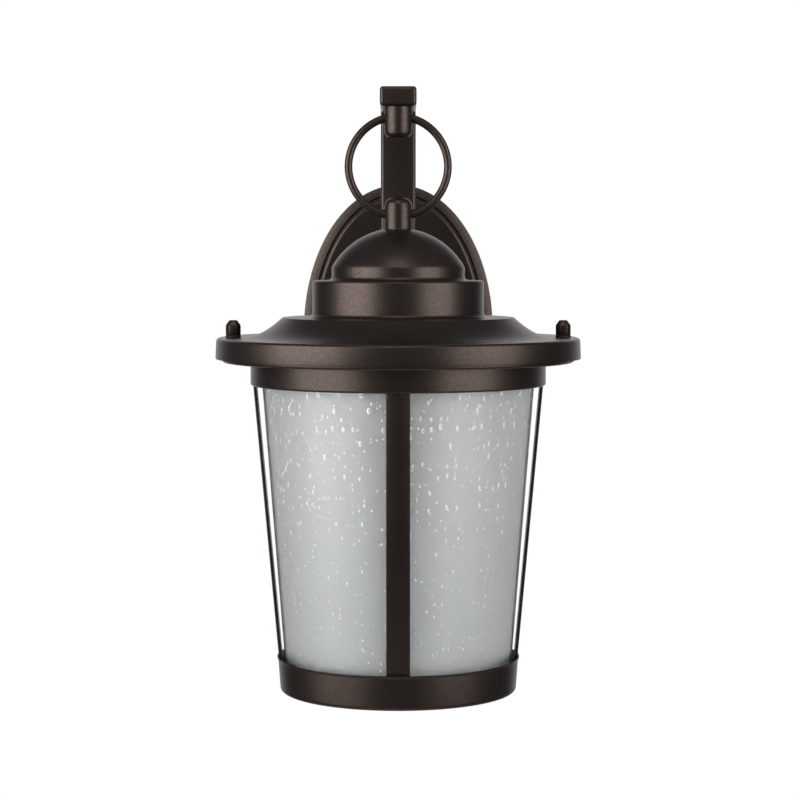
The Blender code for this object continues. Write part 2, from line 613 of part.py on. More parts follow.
def make_lower_knob(lantern):
    """The knob on top of the roof, hung on the ring, and the threaded tube and nut that hold it."""
    bore = NIPPLE_RADIUS + THREAD
    bore_top = LOWER_KNOB_BASE + NIPPLE_IN_KNOB + SEAT
    base = (LOWER_KNOB_RADIUS - LOWER_KNOB_DOME, LOWER_KNOB_TOP - LOWER_KNOB_DOME)
    outline = [(0.0, bore_top), (bore, bore_top), (bore, LOWER_KNOB_BASE)]
    outline += [(LOWER_KNOB_RADIUS, LOWER_KNOB_BASE)]
    outline += arc(base, LOWER_KNOB_DOME, 0, 90, 3) + [(0.0, LOWER_KNOB_TOP)]
    knob = piece("lower_knob", turned(outline, MEDIUM_STEPS), AXIS, lantern, bronze("lower_knob"))
    hole = wire_torus(RING_RADIUS, WIRE_RADIUS + SWING_GAP)
    cut(knob, hole, AXIS + Vector((0, 0, RING_CENTRE)), "lower_knob_ring_hole")
    nipple_foot = ROOF_UNDERSIDE - NIPPLE_BELOW_ROOF
    nipple = rod(NIPPLE_RADIUS, nipple_foot, LOWER_KNOB_BASE + NIPPLE_IN_KNOB, bore=NIPPLE_BORE)
    piece("roof_nipple", nipple, AXIS, lantern, steel("roof_nipple"))
    place = AXIS + Vector((0, 0, ROOF_UNDERSIDE - SEAT - NUT_THICKNESS))
    locknut = nut(LOCKNUT_ACROSS, NUT_THICKNESS, bore)
    piece("roof_locknut", locknut, place, lantern, steel("roof_locknut"))


def cove_height(radius, drop_below=0.0):
    """Height of the roof's hollow slope, or of a line below it, between the shoulder and the rim."""
    along = (radius - SHOULDER_RADIUS) / (COVE_RADIUS - SHOULDER_RADIUS)
    return RIM_TOP + COVE_DROP * (1 - along) ** COVE_HOLLOW - drop_below


def roof_outside():
    """The roof's outer outline, from the hole at its top to the foot of its rim."""
    dome = (0.0, DOME_CENTRE)
    band_foot = DOME_EDGE_HEIGHT - DOME_BAND
    rim = RIM_RADIUS - RIM_FLARE - RIM_EDGE
    outline = [(NIPPLE_RADIUS + THREAD, BOSS_TOP)]
    outline += arc(dome, DOME_RADIUS, angle_at(BOSS_RADIUS), angle_at(DOME_EDGE_RADIUS), 6)
    outline += arc((DOME_EDGE_RADIUS + DOME_FILLET, band_foot), DOME_FILLET, 180, 270, 3)
    outline += arc((COLLAR_RADIUS - COLLAR_EDGE, SHELF_HEIGHT - COLLAR_EDGE), COLLAR_EDGE, 90, 0, 2)
    foot = (COLLAR_RADIUS + COLLAR_FILLET, COLLAR_FOOT + COLLAR_FILLET)
    outline += arc(foot, COLLAR_FILLET, 180, 270, 3)
    steps = 5
    for step in range(steps + 1):
        radius = SHOULDER_RADIUS + (COVE_RADIUS - SHOULDER_RADIUS) * step / steps
        outline.append((radius, cove_height(radius)))
    outline += arc((rim, RIM_TOP - RIM_EDGE), RIM_EDGE, 90, 0, 2)
    outline.append((RIM_RADIUS, RIM_BOTTOM))
    return outline


def angle_at(radius):
    """Where a radius lies on the dome's sphere, in degrees up from outwards."""
    return degrees(acos(radius / DOME_RADIUS))


def roof_inside():
    """The roof's inner outline, from the foot of its rim back to the hole."""
    dome = (0.0, DOME_CENTRE)
    inner_radius = DOME_RADIUS - ROOF_WALL
    outline = [(RIM_RADIUS - ROOF_WALL, RIM_BOTTOM)]
    outline += [(RIM_RADIUS - RIM_FLARE - ROOF_WALL, RIM_TOP - ROOF_WALL)]
    for share in (1.0, 0.5, 0.0):
        radius = SHOULDER_RADIUS + (COVE_RADIUS - SHOULDER_RADIUS) * share
        outline.append((radius, cove_height(radius, ROOF_WALL)))
    outline += [(COLLAR_RADIUS - ROOF_WALL, COLLAR_FOOT - ROOF_WALL)]
    outline += [(COLLAR_RADIUS - ROOF_WALL, SHELF_HEIGHT - ROOF_WALL)]
    outline += [(DOME_EDGE_RADIUS - ROOF_WALL, SHELF_HEIGHT - ROOF_WALL)]
    outline += arc(dome, inner_radius, angle_at(DOME_EDGE_RADIUS), angle_at(BOSS_RADIUS), 3)
    outline.append((NIPPLE_RADIUS + THREAD, ROOF_UNDERSIDE))
    return outline


def make_roof(lantern):
    """The round sheet metal roof, with holes for two studs and a grommet."""
    outline = roof_outside() + roof_inside()
    roof = piece("roof", turned(outline), AXIS, lantern, bronze("roof"))
    for side, word in ((-1, "left"), (1, "right")):
        place = AXIS + Vector((side * CAP_NUT_OFFSET, 0, RIM_TOP))
        cut(roof, drill(CAP_STUD_RADIUS + THREAD, -5 * MM, 5 * MM), place, f"roof_{word}_stud_hole")
    middle = Vector((0, COLLAR_RADIUS - ROOF_WALL / 2, COLLAR_GROMMET_HEIGHT))
    hole = towards_wall(drill(GROMMET_RADIUS - GROMMET_FLANGE, -5 * MM, 5 * MM))
    cut(roof, hole, AXIS + middle, "roof_grommet_hole")


def make_cage(lantern):
    """The pan under the roof, the two rings, and the four strips welded between them."""
    pan_top = RIM_TOP - ROOF_WALL - SEAT
    pan_floor = PAN_BOTTOM + PAN_WALL
    corner = (PAN_RADIUS - PAN_WALL, PAN_BOTTOM + PAN_WALL)
    outline = [(PAN_OPENING, PAN_BOTTOM)] + arc(corner, PAN_WALL, -90, 0, 2)
    outline += [(PAN_RADIUS, pan_top), (PAN_RADIUS - PAN_WALL, pan_top)]
    outline += [(PAN_RADIUS - PAN_WALL, pan_floor), (PAN_OPENING, pan_floor)]
    piece("cage_pan", turned(outline), AXIS, lantern, bronze("cage_pan"))
    inner = UPPER_RING_RADIUS - UPPER_RING_WALL
    outline = [(inner, UPPER_RING_TOP), (inner, UPPER_RING_BOTTOM)]
    outline += arc((inner, UPPER_RING_BOTTOM + UPPER_RING_WALL), UPPER_RING_WALL, -90, 0, 2)[1:]
    outline += [(UPPER_RING_RADIUS, UPPER_RING_TOP)]
    piece("upper_ring", turned(outline), AXIS, lantern, bronze("upper_ring"))
    foot = BASE_RING_RADIUS - BASE_RING_TAPER
    lip = BASE_RING_RADIUS + BASE_RING_LIP
    outline = [(lip - BASE_LIP_WALL, BASE_TOP), (lip, BASE_TOP), (lip, BASE_TOP - BASE_LIP_HEIGHT / 2)]
    outline += [(BASE_RING_RADIUS, BASE_TOP - BASE_LIP_HEIGHT)]
    outline += arc((foot - BASE_RING_EDGE, BASE_BOTTOM + BASE_RING_EDGE), BASE_RING_EDGE, 0, -90, 2)
    outline += [(BASE_OPENING, BASE_BOTTOM), (BASE_OPENING, BASE_FLOOR)]
    outline += [(foot - BASE_RING_EDGE, BASE_FLOOR)]
    outline += [(foot - BASE_RING_WALL, BASE_FLOOR + BASE_RING_EDGE)]
    outline += [(BASE_RING_RADIUS - BASE_RING_WALL, BASE_TOP - BASE_LIP_HEIGHT - BASE_RING_WALL)]
    piece("base_ring", turned(outline), AXIS, lantern, bronze("base_ring"))
    for index, word in enumerate(("right", "back", "left", "front")):
        strip = cage_strip()
        bmesh.ops.rotate(strip, verts=strip.verts, matrix=Matrix.Rotation(pi / 2 * index, 3, "Z"))
        piece(f"cage_strip_{word}", strip, AXIS, lantern, bronze(f"cage_strip_{word}"))


def cage_strip():
    """One flat strip on the +X side: upright in the upper ring, then leaning to the base ring."""
    crank = BASE_LIP_HEIGHT + STRIP_GAP
    floor = BASE_FLOOR + BASE_RING_EDGE
    face = [(STRIP_TOP_FACE, UPPER_RING_TOP - STRIP_GAP)]
    face += [(STRIP_TOP_FACE, UPPER_RING_BOTTOM - STRIP_GAP)]
    face += [(BASE_RING_RADIUS - STRIP_GAP, BASE_TOP), (STRIP_FOOT_FACE, BASE_TOP - crank)]
    face += [(STRIP_FOOT_FACE - BASE_RING_TAPER, floor)]
    back = [(radius - STRIP_THICKNESS, height) for radius, height in reversed(face)]
    outline = face + back
    loops = [[(x, side * STRIP_WIDTH / 2, z) for x, z in outline] for side in (-1, 1)]
    return lofted(loops, capped=True)


def make_glasses(lantern):
    """The seeded outer glass, the frosted liner inside it, and the gasket over both."""
    liner_inset = GLASS_WALL + LINER_GAP
    sizes = {"outer_glass": (0.0, GLASS_WALL, 0.1), "glass_liner": (liner_inset, LINER_WALL, 0.6)}
    for name, (inset, wall, roughness) in sizes.items():
        low = GLASS_BOTTOM_RADIUS - inset
        high = GLASS_TOP_RADIUS - inset
        outline = [(low, GLASS_BOTTOM), (high, GLASS_TOP)]
        outline += [(high - wall, GLASS_TOP), (low - wall, GLASS_BOTTOM)]
        glass = material(name, (0.72, 0.76, 0.76), roughness, 0.0, 0.5)
        piece(name, turned(outline), AXIS, lantern, glass)
    inner = GLASS_TOP_RADIUS - liner_inset - LINER_WALL
    seal = rod(GLASS_TOP_RADIUS, GLASS_TOP + SEAT, PAN_BOTTOM - SEAT, ROUND_STEPS, inner)
    rubber = material("glass_gasket", (0.08, 0.08, 0.08), 0.8)
    piece("glass_gasket", seal, AXIS, lantern, rubber)


def make_cap_nuts(lantern):
    """The two studs on the pan, each with a washer and a tapered cap nut that frees the cage."""
    nut_base = RIM_TOP + WASHER_THICKNESS + 2 * SEAT
    bore = CAP_STUD_RADIUS + THREAD
    bore_depth = CAP_NUT_HEIGHT - CAP_NUT_CONE
    for side, word in ((-1, "left"), (1, "right")):
        place = AXIS + Vector((side * CAP_NUT_OFFSET, 0, 0))
        stud = rod(CAP_STUD_RADIUS, PAN_BOTTOM + PAN_WALL + SEAT, nut_base + bore_depth - SEAT)
        piece(f"cage_stud_{word}", stud, place, lantern, steel(f"cage_stud_{word}"))
        washer = rod(WASHER_RADIUS, RIM_TOP + SEAT, RIM_TOP + SEAT + WASHER_THICKNESS, bore=bore)
        rubber = material(f"cap_nut_washer_{word}", (0.02, 0.02, 0.02), 0.7)
        piece(f"cap_nut_washer_{word}", washer, place, lantern, rubber)
        seat = place + Vector((0, 0, nut_base))
        axis = pivot(f"cap_nut_axis_{word}", seat, lantern)
        shape = cap_nut(CAP_NUT_ACROSS, CAP_NUT_HEIGHT, CAP_NUT_CONE, CAP_NUT_TOP, bore, bore_depth)
        piece(f"cap_nut_{word}", shape, seat, axis, bronze(f"cap_nut_{word}"))


def make_lampholder(lantern):
    """The screwed steel cap, the porcelain holder under it, and the brass shell and contact in that."""
    wall = 0.8 * MM
    cap_foot = HOLDER_CAP_TOP - HOLDER_CAP_HEIGHT
    outline = [(NIPPLE_RADIUS + THREAD, HOLDER_CAP_TOP), (HOLDER_CAP_RADIUS - 2 * wall, HOLDER_CAP_TOP)]
    outline += [(HOLDER_CAP_RADIUS, HOLDER_CAP_TOP - 2 * wall), (HOLDER_CAP_RADIUS, cap_foot)]
    inner = HOLDER_CAP_RADIUS - wall
    outline += [(inner, cap_foot), (inner, HOLDER_CAP_TOP - 2 * wall)]
    outline += [(inner - wall, HOLDER_CAP_TOP - wall), (NIPPLE_RADIUS + THREAD, HOLDER_CAP_TOP - wall)]
    piece("lampholder_cap", turned(outline, MEDIUM_STEPS), AXIS, lantern, steel("lampholder_cap"))
    edge = 1.5 * MM
    mouth = SHELL_RADIUS + SEAT
    outline = [(0.0, HOLDER_TOP), (HOLDER_RADIUS - edge, HOLDER_TOP)]
    outline += [(HOLDER_RADIUS, HOLDER_TOP - edge), (HOLDER_RADIUS, HOLDER_BOTTOM)]
    outline += [(mouth, HOLDER_BOTTOM)]
    outline += [(mouth, SHELL_TOP + SEAT), (0.0, SHELL_TOP + SEAT)]
    porcelain = material("lampholder", (0.85, 0.84, 0.8), 0.25)
    piece("lampholder", turned(outline, MEDIUM_STEPS), AXIS, lantern, porcelain)
    brass = (0.75, 0.55, 0.25)
    hole = SHELL_RADIUS / 2
    inner = SHELL_RADIUS - SHELL_WALL
    outline = [(inner, HOLDER_BOTTOM + edge), (SHELL_RADIUS, HOLDER_BOTTOM + edge)]
    outline += [(SHELL_RADIUS, SHELL_TOP), (hole, SHELL_TOP)]
    outline += [(hole, SHELL_TOP - SHELL_WALL), (inner, SHELL_TOP - SHELL_WALL)]
    shell = turned(outline, MEDIUM_STEPS)
    piece("screw_shell", shell, AXIS, lantern, material("screw_shell", brass, 0.3, 1.0))
    contact = rod(hole / 2, SHELL_TOP - 4 * SHELL_WALL, SHELL_TOP, 12)
    piece("centre_contact", contact, AXIS, lantern, material("centre_contact", brass, 0.3, 1.0))


def make_bulb(bulb):
    """A plain screw-in bulb: its metal cap and its glass, which is open where the cap closes it."""
    place = AXIS + Vector((0, 0, BULB_CAP_TOP))
    ridge = 0.5 * MM
    thread_turns = 4
    pitch = 3.6 * MM
    tip = SHELL_TOP - 4 * SHELL_WALL - SEAT
    outline = [(0.0, tip - BULB_CAP_TOP), (4 * MM, tip - BULB_CAP_TOP - ridge), (6 * MM, 0.0)]
    outline += [(BULB_CAP_RADIUS - ridge, -1 * MM)]
    for turn in range(thread_turns):
        outline += [(BULB_CAP_RADIUS, -(turn + 1.0) * pitch)]
        outline += [(BULB_CAP_RADIUS - ridge, -(turn + 1.5) * pitch)]
    outline += [(BULB_CAP_RADIUS, -BULB_CAP_LENGTH + 1 * MM), (BULB_CAP_RADIUS, -BULB_CAP_LENGTH)]
    outline += [(0.0, -BULB_CAP_LENGTH)]
    cap = turned(outline, MEDIUM_STEPS)
    piece("bulb_cap", cap, place, bulb, material("bulb_cap", (0.7, 0.7, 0.68), 0.3, 1.0))
    neck_top = -BULB_CAP_LENGTH - SEAT
    middle = (0.0, neck_top - BULB_LENGTH + BULB_RADIUS)
    neck = [(BULB_NECK_RADIUS - 1 * MM, neck_top), (BULB_NECK_RADIUS, neck_top - 10 * MM)]
    inside = arc(middle, BULB_RADIUS - BULB_WALL, -90, 45, 6)
    inside += [(r - BULB_WALL, z) for r, z in reversed(neck)]
    outside = neck + arc(middle, BULB_RADIUS, 45, -90, 6)
    glass = material("bulb_glass", (0.9, 0.9, 0.88), 0.3, 0.0, 0.9)
    piece("bulb_glass", turned(inside + outside, MEDIUM_STEPS), place, bulb, glass)


def make_leads(wall, lantern):
    """The leads inside the lantern and inside the canopy, each as far as its grommet."""
    colours = {"black": (0.02, 0.02, 0.02), "white": (0.8, 0.8, 0.78), "green": (0.04, 0.3, 0.08)}
    offsets = {"black": (-0.866, -0.5), "white": (0.866, -0.5), "green": (0.0, 1.0)}
    for word, colour in colours.items():
        x = LEAD_SPREAD * offsets[word][0]
        lift = LEAD_SPREAD * offsets[word][1]
        finish = material(f"lamp_lead_{word}", colour, 0.5)
        lead(f"lamp_lead_{word}", lamp_lead_route(word, x, lift), lantern, finish)
        finish = material(f"supply_lead_{word}", colour, 0.5)
        lead(f"supply_lead_{word}", supply_lead_route(word, x, lift), wall, finish)


def lamp_lead_route(word, x, lift):
    """From the collar's grommet into the dome, then to the lampholder or, in green, to its steel cap."""
    z = COLLAR_GROMMET_HEIGHT + lift
    outer_end = COLLAR_RADIUS - ROOF_WALL / 2 + COLLAR_GROMMET_GRIP / 2 + SEAT + GROMMET_FLANGE
    loop_top = HOLDER_TOP + 6 * MM
    if word == "green":
        end = HOLDER_CAP_RADIUS + SEAT
        route = [(0, outer_end, z), (0, outer_end - 8 * MM, z), (0, 34 * MM, z + 2.5 * MM)]
        route += [(0, 30.5 * MM, SHELF_HEIGHT), (0, 27 * MM, loop_top - 4 * MM), (0, 22 * MM, loop_top)]
        route += [(0, end, loop_top)]
    else:
        side = 5 * MM if x > 0 else -5 * MM
        drop = 15.7 * MM
        route = [(x, outer_end, z), (x, outer_end - 8 * MM, z), (1.3 * x, 34 * MM, z + 2 * MM)]
        route += [(0.7 * side, 30.5 * MM, SHELF_HEIGHT - 1.5 * MM)]
        route += [(0.9 * side, 27.5 * MM, HOLDER_TOP - 2 * MM)]
        route += [(side, 23 * MM, HOLDER_TOP + 4 * MM), (side, drop + 3 * MM, loop_top)]
        route += [(side, drop, HOLDER_TOP + 3.5 * MM), (side, drop, HOLDER_TOP + SEAT)]
    return [AXIS + Vector(point) for point in route]


def supply_lead_route(word, x, lift):
    """From the canopy's grommet to a wire nut or, in green, to the ground screw on the bar."""
    z = CANOPY_GROMMET_HEIGHT + lift
    outer_end = CANOPY_FRONT - SEAT - GROMMET_FLANGE
    route = [(x, outer_end, z), (x, outer_end + 4.5 * MM, z)]
    if word == "green":
        end = GROUND_SCREW_OFFSET
        route += [(0.1 * end, -12 * MM, z - 1 * MM), (0.4 * end, -9.5 * MM, z - 3 * MM)]
        route += [(0.85 * end, -9 * MM, 6 * MM), (end, -8.2 * MM, 1 * MM)]
        route += [(end, -BAR_THICKNESS - GROUND_SCREW_HEAD - 2 * SEAT, 0)]
    else:
        side = 1 if x > 0 else -1
        route += [(x + side * 1.5 * MM, -13 * MM, z - 2 * MM), (side * 7 * MM, -9.5 * MM, -1 * MM)]
        route += [(side * 12 * MM, WIRE_NUT_Y, -10 * MM)]
        route += [(side * WIRE_NUT_OFFSET, WIRE_NUT_Y, -20 * MM)]
        route += [(side * WIRE_NUT_OFFSET, WIRE_NUT_Y, WIRE_NUT_TOP)]
        route += [(side * WIRE_NUT_OFFSET, WIRE_NUT_Y, WIRE_NUT_TOP - WIRE_NUT_GRIP)]
    return route


def make_wire_nuts(wall):
    """The two screw-on connectors inside the canopy."""
    bore = LEAD_RADIUS + SEAT
    outline = [(0.0, -WIRE_NUT_GRIP - SEAT), (bore, -WIRE_NUT_GRIP - SEAT), (bore, 0.0)]
    outline += [(WIRE_NUT_RADIUS - 1 * MM, 0.0), (WIRE_NUT_RADIUS, -2 * MM)]
    outline += [(WIRE_NUT_RADIUS, -0.4 * WIRE_NUT_LENGTH)]
    outline += [(0.6 * WIRE_NUT_RADIUS, -WIRE_NUT_LENGTH), (0.0, -WIRE_NUT_LENGTH)]
    for side, word, colour in ((-1, "black", (0.6, 0.2, 0.03)), (1, "white", (0.75, 0.6, 0.05))):
        name = f"wire_nut_{word}"
        place = (side * WIRE_NUT_OFFSET, WIRE_NUT_Y, WIRE_NUT_TOP)
        piece(name, turned(outline, SMALL_STEPS), place, wall, material(name, colour, 0.5))


clear_scene()
wall_pivot = pivot("wall", (0, 0, 0))
ring_pivot = pivot("ring_axis", AXIS + Vector((0, 0, RING_TOP)), wall_pivot)
lantern_pivot = pivot("lantern_axis", AXIS + Vector((0, 0, RING_BOTTOM)), ring_pivot)
bulb_pivot = pivot("bulb_axis", AXIS + Vector((0, 0, BULB_CAP_TOP)), lantern_pivot)
make_canopy(wall_pivot)
make_mounting_bar(wall_pivot)
make_arm(wall_pivot)
make_upper_knob(wall_pivot)
make_hanger_ring(ring_pivot)
make_lower_knob(lantern_pivot)
make_roof(lantern_pivot)
make_cage(lantern_pivot)
make_glasses(lantern_pivot)
make_cap_nuts(lantern_pivot)
make_lampholder(lantern_pivot)
make_bulb(bulb_pivot)
make_wire_nuts(wall_pivot)
make_leads(wall_pivot, lantern_pivot)
canopy_middle = (0, CANOPY_FRONT + CANOPY_WALL / 2, CANOPY_GROMMET_HEIGHT)
grommet("canopy_grommet", CANOPY_WALL, canopy_middle, wall_pivot)
collar_middle = Vector((0, COLLAR_RADIUS - ROOF_WALL / 2, COLLAR_GROMMET_HEIGHT))
grommet("collar_grommet", COLLAR_GROMMET_GRIP, AXIS + collar_middle, lantern_pivot)
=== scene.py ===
# Outdoor wall lantern: a tapered glass lantern that hangs on a ring from a bent arm on a canopy.
# Metres. +Z is up, the wall is the plane y = 0, and the front faces -Y.

from math import acos, cos, degrees, pi, radians, sin, sqrt

import bpy
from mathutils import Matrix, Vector


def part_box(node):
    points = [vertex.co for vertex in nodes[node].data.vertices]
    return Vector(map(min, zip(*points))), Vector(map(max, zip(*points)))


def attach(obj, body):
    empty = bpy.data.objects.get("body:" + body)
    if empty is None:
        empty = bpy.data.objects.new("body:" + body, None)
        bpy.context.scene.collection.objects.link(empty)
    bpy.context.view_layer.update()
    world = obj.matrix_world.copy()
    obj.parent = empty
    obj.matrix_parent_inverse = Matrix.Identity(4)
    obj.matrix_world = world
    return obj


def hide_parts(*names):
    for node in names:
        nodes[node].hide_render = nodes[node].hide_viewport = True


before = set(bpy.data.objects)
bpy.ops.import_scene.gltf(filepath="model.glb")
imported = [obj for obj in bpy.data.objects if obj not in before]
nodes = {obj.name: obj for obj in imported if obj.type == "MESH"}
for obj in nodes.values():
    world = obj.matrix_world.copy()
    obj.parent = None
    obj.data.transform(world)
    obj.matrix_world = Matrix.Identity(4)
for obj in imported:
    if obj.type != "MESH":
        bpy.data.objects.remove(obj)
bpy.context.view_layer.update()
MM = 0.001


# ---- Camera ----
# A long lens in front of the lantern, a little above the roof's rim and tipped slightly down.

roof_low, roof_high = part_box("roof")
AXIS_Y = (roof_low.y + roof_high.y) / 2
CAMERA_DISTANCE = 1320.0 * MM
CAMERA_HEIGHT = 52.2 * MM
CAMERA_SIDE = 1.0 * MM
CAMERA_PITCH = radians(3.742)
CAMERA_LENS = 106.65
CAMERA_SENSOR = 36.0
CAMERA_NEAR = 50.0 * MM

bpy.ops.object.camera_add(
    location=(CAMERA_SIDE, AXIS_Y - CAMERA_DISTANCE, CAMERA_HEIGHT),
    rotation=(pi / 2 - CAMERA_PITCH, 0.0, 0.0),
)
camera = bpy.context.object
camera.name = "camera"
camera.data.lens = CAMERA_LENS
camera.data.sensor_width = CAMERA_SENSOR
camera.data.clip_start = CAMERA_NEAR
bpy.context.scene.camera = camera


# ---- Mounting bar, studs and ground screw ----
# A zinc plated steel bar across the wall box. Two studs are screwed into it and locked with nuts,
# and a green screw takes the ground wire. The canopy hides them all.


class Pattern:
    """A shader node's output. Arithmetic on patterns adds Math nodes to the same material."""

    def __init__(self, tree, socket=None):
        self.tree = tree
        self.socket = socket

    def node(self, kind, settings, inputs, output=0):
        """Adds a node: its settings are set first, then the values or links of its sockets."""
        made = self.tree.nodes.new(kind)
        for name, value in settings.items():
            setattr(made, name, value)
        for name, value in inputs.items():
            if isinstance(value, Pattern):
                self.tree.links.new(value.socket, made.inputs[name])
            else:
                made.inputs[name].default_value = value
        return Pattern(self.tree, made.outputs[output])

    def maths(self, operation, first, second=0.0):
        return self.node("ShaderNodeMath", {"operation": operation}, {0: first, 1: second})

    def larger(self, other):
        return self.maths("MAXIMUM", self, other)

    def part(self, name):
        """One part of a vector: X, Y or Z."""
        return self.node("ShaderNodeSeparateXYZ", {}, {0: self}, name)

    def channel(self, name):
        """One channel of a colour: Red, Green or Blue."""
        return self.node("ShaderNodeSeparateColor", {}, {"Color": self}, name)

    def blend(self, share, first, second):
        """A colour between two colours, by a share from 0 to 1. Its sockets are 6, 7 and 2."""
        settings = {"data_type": "RGBA", "blend_type": "MIX"}
        inputs = {"Factor": share, 6: first, 7: second}
        return self.node("ShaderNodeMix", settings, inputs, output=2)

    def step(self, low, high):
        """0 below low and 1 above high, smooth between them. A low above high turns it round."""
        settings = {"interpolation_type": "SMOOTHSTEP"}
        if low < high:
            inputs = {"Value": self, "From Min": low, "From Max": high}
            return self.node("ShaderNodeMapRange", settings, inputs)
        inputs = {"Value": self, "From Min": high, "From Max": low, "To Min": 1.0, "To Max": 0.0}
        return self.node("ShaderNodeMapRange", settings, inputs)

    def __add__(self, other):
        return self.maths("ADD", self, other)

    __radd__ = __add__

    def __sub__(self, other):
        return self.maths("SUBTRACT", self, other)

    def __rsub__(self, other):
        return self.maths("SUBTRACT", other, self)

    def __mul__(self, other):
        return self.maths("MULTIPLY", self, other)

    __rmul__ = __mul__

    def __truediv__(self, other):
        return self.maths("DIVIDE", self, other)


def new_material(name):
    """A new material with a Principled shader, and a pattern that starts its node tree."""
    made = bpy.data.materials.new(name)
    made.use_nodes = True
    return made, made.node_tree.nodes["Principled BSDF"], Pattern(made.node_tree)


def feed(shader, name, pattern):
    """Links a pattern into one of a shader's sockets."""
    shader.id_data.links.new(pattern.socket, shader.inputs[name])


def surface_place(start):
    """The object's own coordinates, in metres."""
    return start.node("ShaderNodeTexCoord", {}, {}, output="Object")


def noise(place, scale, detail=2.0, roughness=0.5):
    inputs = {"Vector": place, "Scale": scale, "Detail": detail, "Roughness": roughness}
    return place.node("ShaderNodeTexNoise", {}, inputs)


def relief(height, distance, strength=1.0):
    """A bump from a height pattern, with its depth in metres."""
    inputs = {"Height": height, "Distance": distance, "Strength": strength}
    return height.node("ShaderNodeBump", {}, inputs, output="Normal")


def plated_steel(name, colour, metallic=1.0):
    """Plated steel: bright, a little cloudy, with faint rolling lines along X."""
    made, shader, start = new_material(name)
    place = surface_place(start)
    stretched = place.node("ShaderNodeMapping", {}, {"Vector": place, "Scale": (0.08, 1.0, 1.0)})
    lines = noise(stretched, 2600.0, 3.0)
    cloud = noise(place, 160.0, 3.0)
    dull = tuple(0.72 * value for value in colour)
    feed(shader, "Base Color", place.blend(cloud.step(0.3, 0.75), (*dull, 1.0), (*colour, 1.0)))
    feed(shader, "Roughness", 0.2 + 0.2 * cloud + 0.08 * lines)
    feed(shader, "Normal", relief(lines, 0.02 * MM, 0.5))
    shader.inputs["Metallic"].default_value = metallic
    return made


def dress(finish, *names):
    """Gives CAD nodes a material."""
    for name in names:
        slots = nodes[name].material_slots
        for slot in slots:
            slot.link = "OBJECT"
            slot.material = finish


zinc = plated_steel("zinc plated steel", (0.62, 0.62, 0.63))
green_zinc = plated_steel("green dyed steel", (0.03, 0.3, 0.07), 0.7)
dress(zinc, "mounting_bar", "canopy_stud_left", "canopy_stud_right")
dress(zinc, "stud_locknut_left", "stud_locknut_right", "arm_screw_left", "arm_screw_right")
dress(green_zinc, "ground_screw")


# ---- Canopy ----
# A pressed metal oval dish over the wall box: a crowned step round its edge, a fine groove, then a
# raised face with a rolled edge. Powder coated dark bronze with a fine metal fleck.


def dark_bronze():
    """Powder coat in dark bronze: dark brown with small bright flecks and a fine orange peel."""
    made, shader, start = new_material("dark bronze powder coat")
    place = surface_place(start)
    inputs = {"Vector": place, "Scale": 3600.0, "Randomness": 1.0}
    flakes = place.node("ShaderNodeTexVoronoi", {"voronoi_dimensions": "3D"}, inputs, "Color")
    flake = flakes.channel("Red")
    grain = noise(place, 1500.0, 3.0, 0.6)
    cloud = noise(place, 22.0, 3.0)
    lit = flake.step(0.55, 1.0)
    deep, warm = (0.066, 0.051, 0.045, 1.0), (0.078, 0.060, 0.053, 1.0)
    brown = place.blend(cloud.step(0.3, 0.7), deep, warm)
    feed(shader, "Base Color", place.blend(lit * 0.3, brown, (0.23, 0.18, 0.155, 1.0)))
    feed(shader, "Metallic", 0.9 + 0.1 * lit)
    feed(shader, "Roughness", 0.31 + 0.1 * grain - 0.05 * lit + 0.04 * cloud)
    feed(shader, "Normal", relief(0.6 * grain + 0.4 * flake, 0.01 * MM, 0.25))
    shader.inputs["Specular IOR Level"].default_value = 0.4
    return made


SHARP_ANGLE = 28.0


def deselect():
    bpy.ops.object.select_all(action="DESELECT")


def finish_piece(piece, name, finish, body, slot, *replaced):
    """Names a piece, settles its place into its mesh, and gives it its finish and its body."""
    deselect()
    piece.select_set(True)
    bpy.context.view_layer.objects.active = piece
    bpy.ops.object.transform_apply(location=True, rotation=True, scale=True)
    bpy.ops.object.shade_smooth_by_angle(angle=radians(SHARP_ANGLE))
    piece.name = name
    piece.data.name = name
    piece.data.materials.clear()
    piece.data.materials.append(finish)
    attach(piece, body)
    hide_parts(*replaced)


def close_mesh():
    """Joins loose ends, turns all faces outwards and leaves edit mode."""
    bpy.ops.mesh.select_all(action="SELECT")
    bpy.ops.mesh.remove_doubles(threshold=1e-6)
    bpy.ops.mesh.normals_make_consistent(inside=False)
    bpy.ops.object.mode_set(mode="OBJECT")


def round_edges(piece, width, segments, angle=SHARP_ANGLE, clamp=True):
    """Rounds every edge that turns by more than an angle in degrees, with an applied bevel."""
    bpy.context.view_layer.objects.active = piece
    bevel = piece.modifiers.new("rounded edges", "BEVEL")
    bevel.width = width
    bevel.segments = segments
    bevel.limit_method = "ANGLE"
    bevel.angle_limit = radians(angle)
    bevel.use_clamp_overlap = clamp
    bpy.ops.object.modifier_apply(modifier=bevel.name)


def cut_away(piece, cutter):
    """Cuts one mesh out of another and removes the cutter."""
    bpy.context.view_layer.objects.active = piece
    boolean = piece.modifiers.new("cut", "BOOLEAN")
    boolean.operation = "DIFFERENCE"
    boolean.object = cutter
    boolean.solver = "EXACT"
    bpy.ops.object.modifier_apply(modifier=boolean.name)
    bpy.data.objects.remove(cutter)


def hole_cutter(radius, place, length, rotation=(0.0, 0.0, 0.0)):
    """A cylinder to cut a hole with."""
    deselect()
    bpy.ops.mesh.primitive_cylinder_add(
        vertices=48, radius=radius, depth=length, location=place, rotation=rotation
    )
    return bpy.context.object


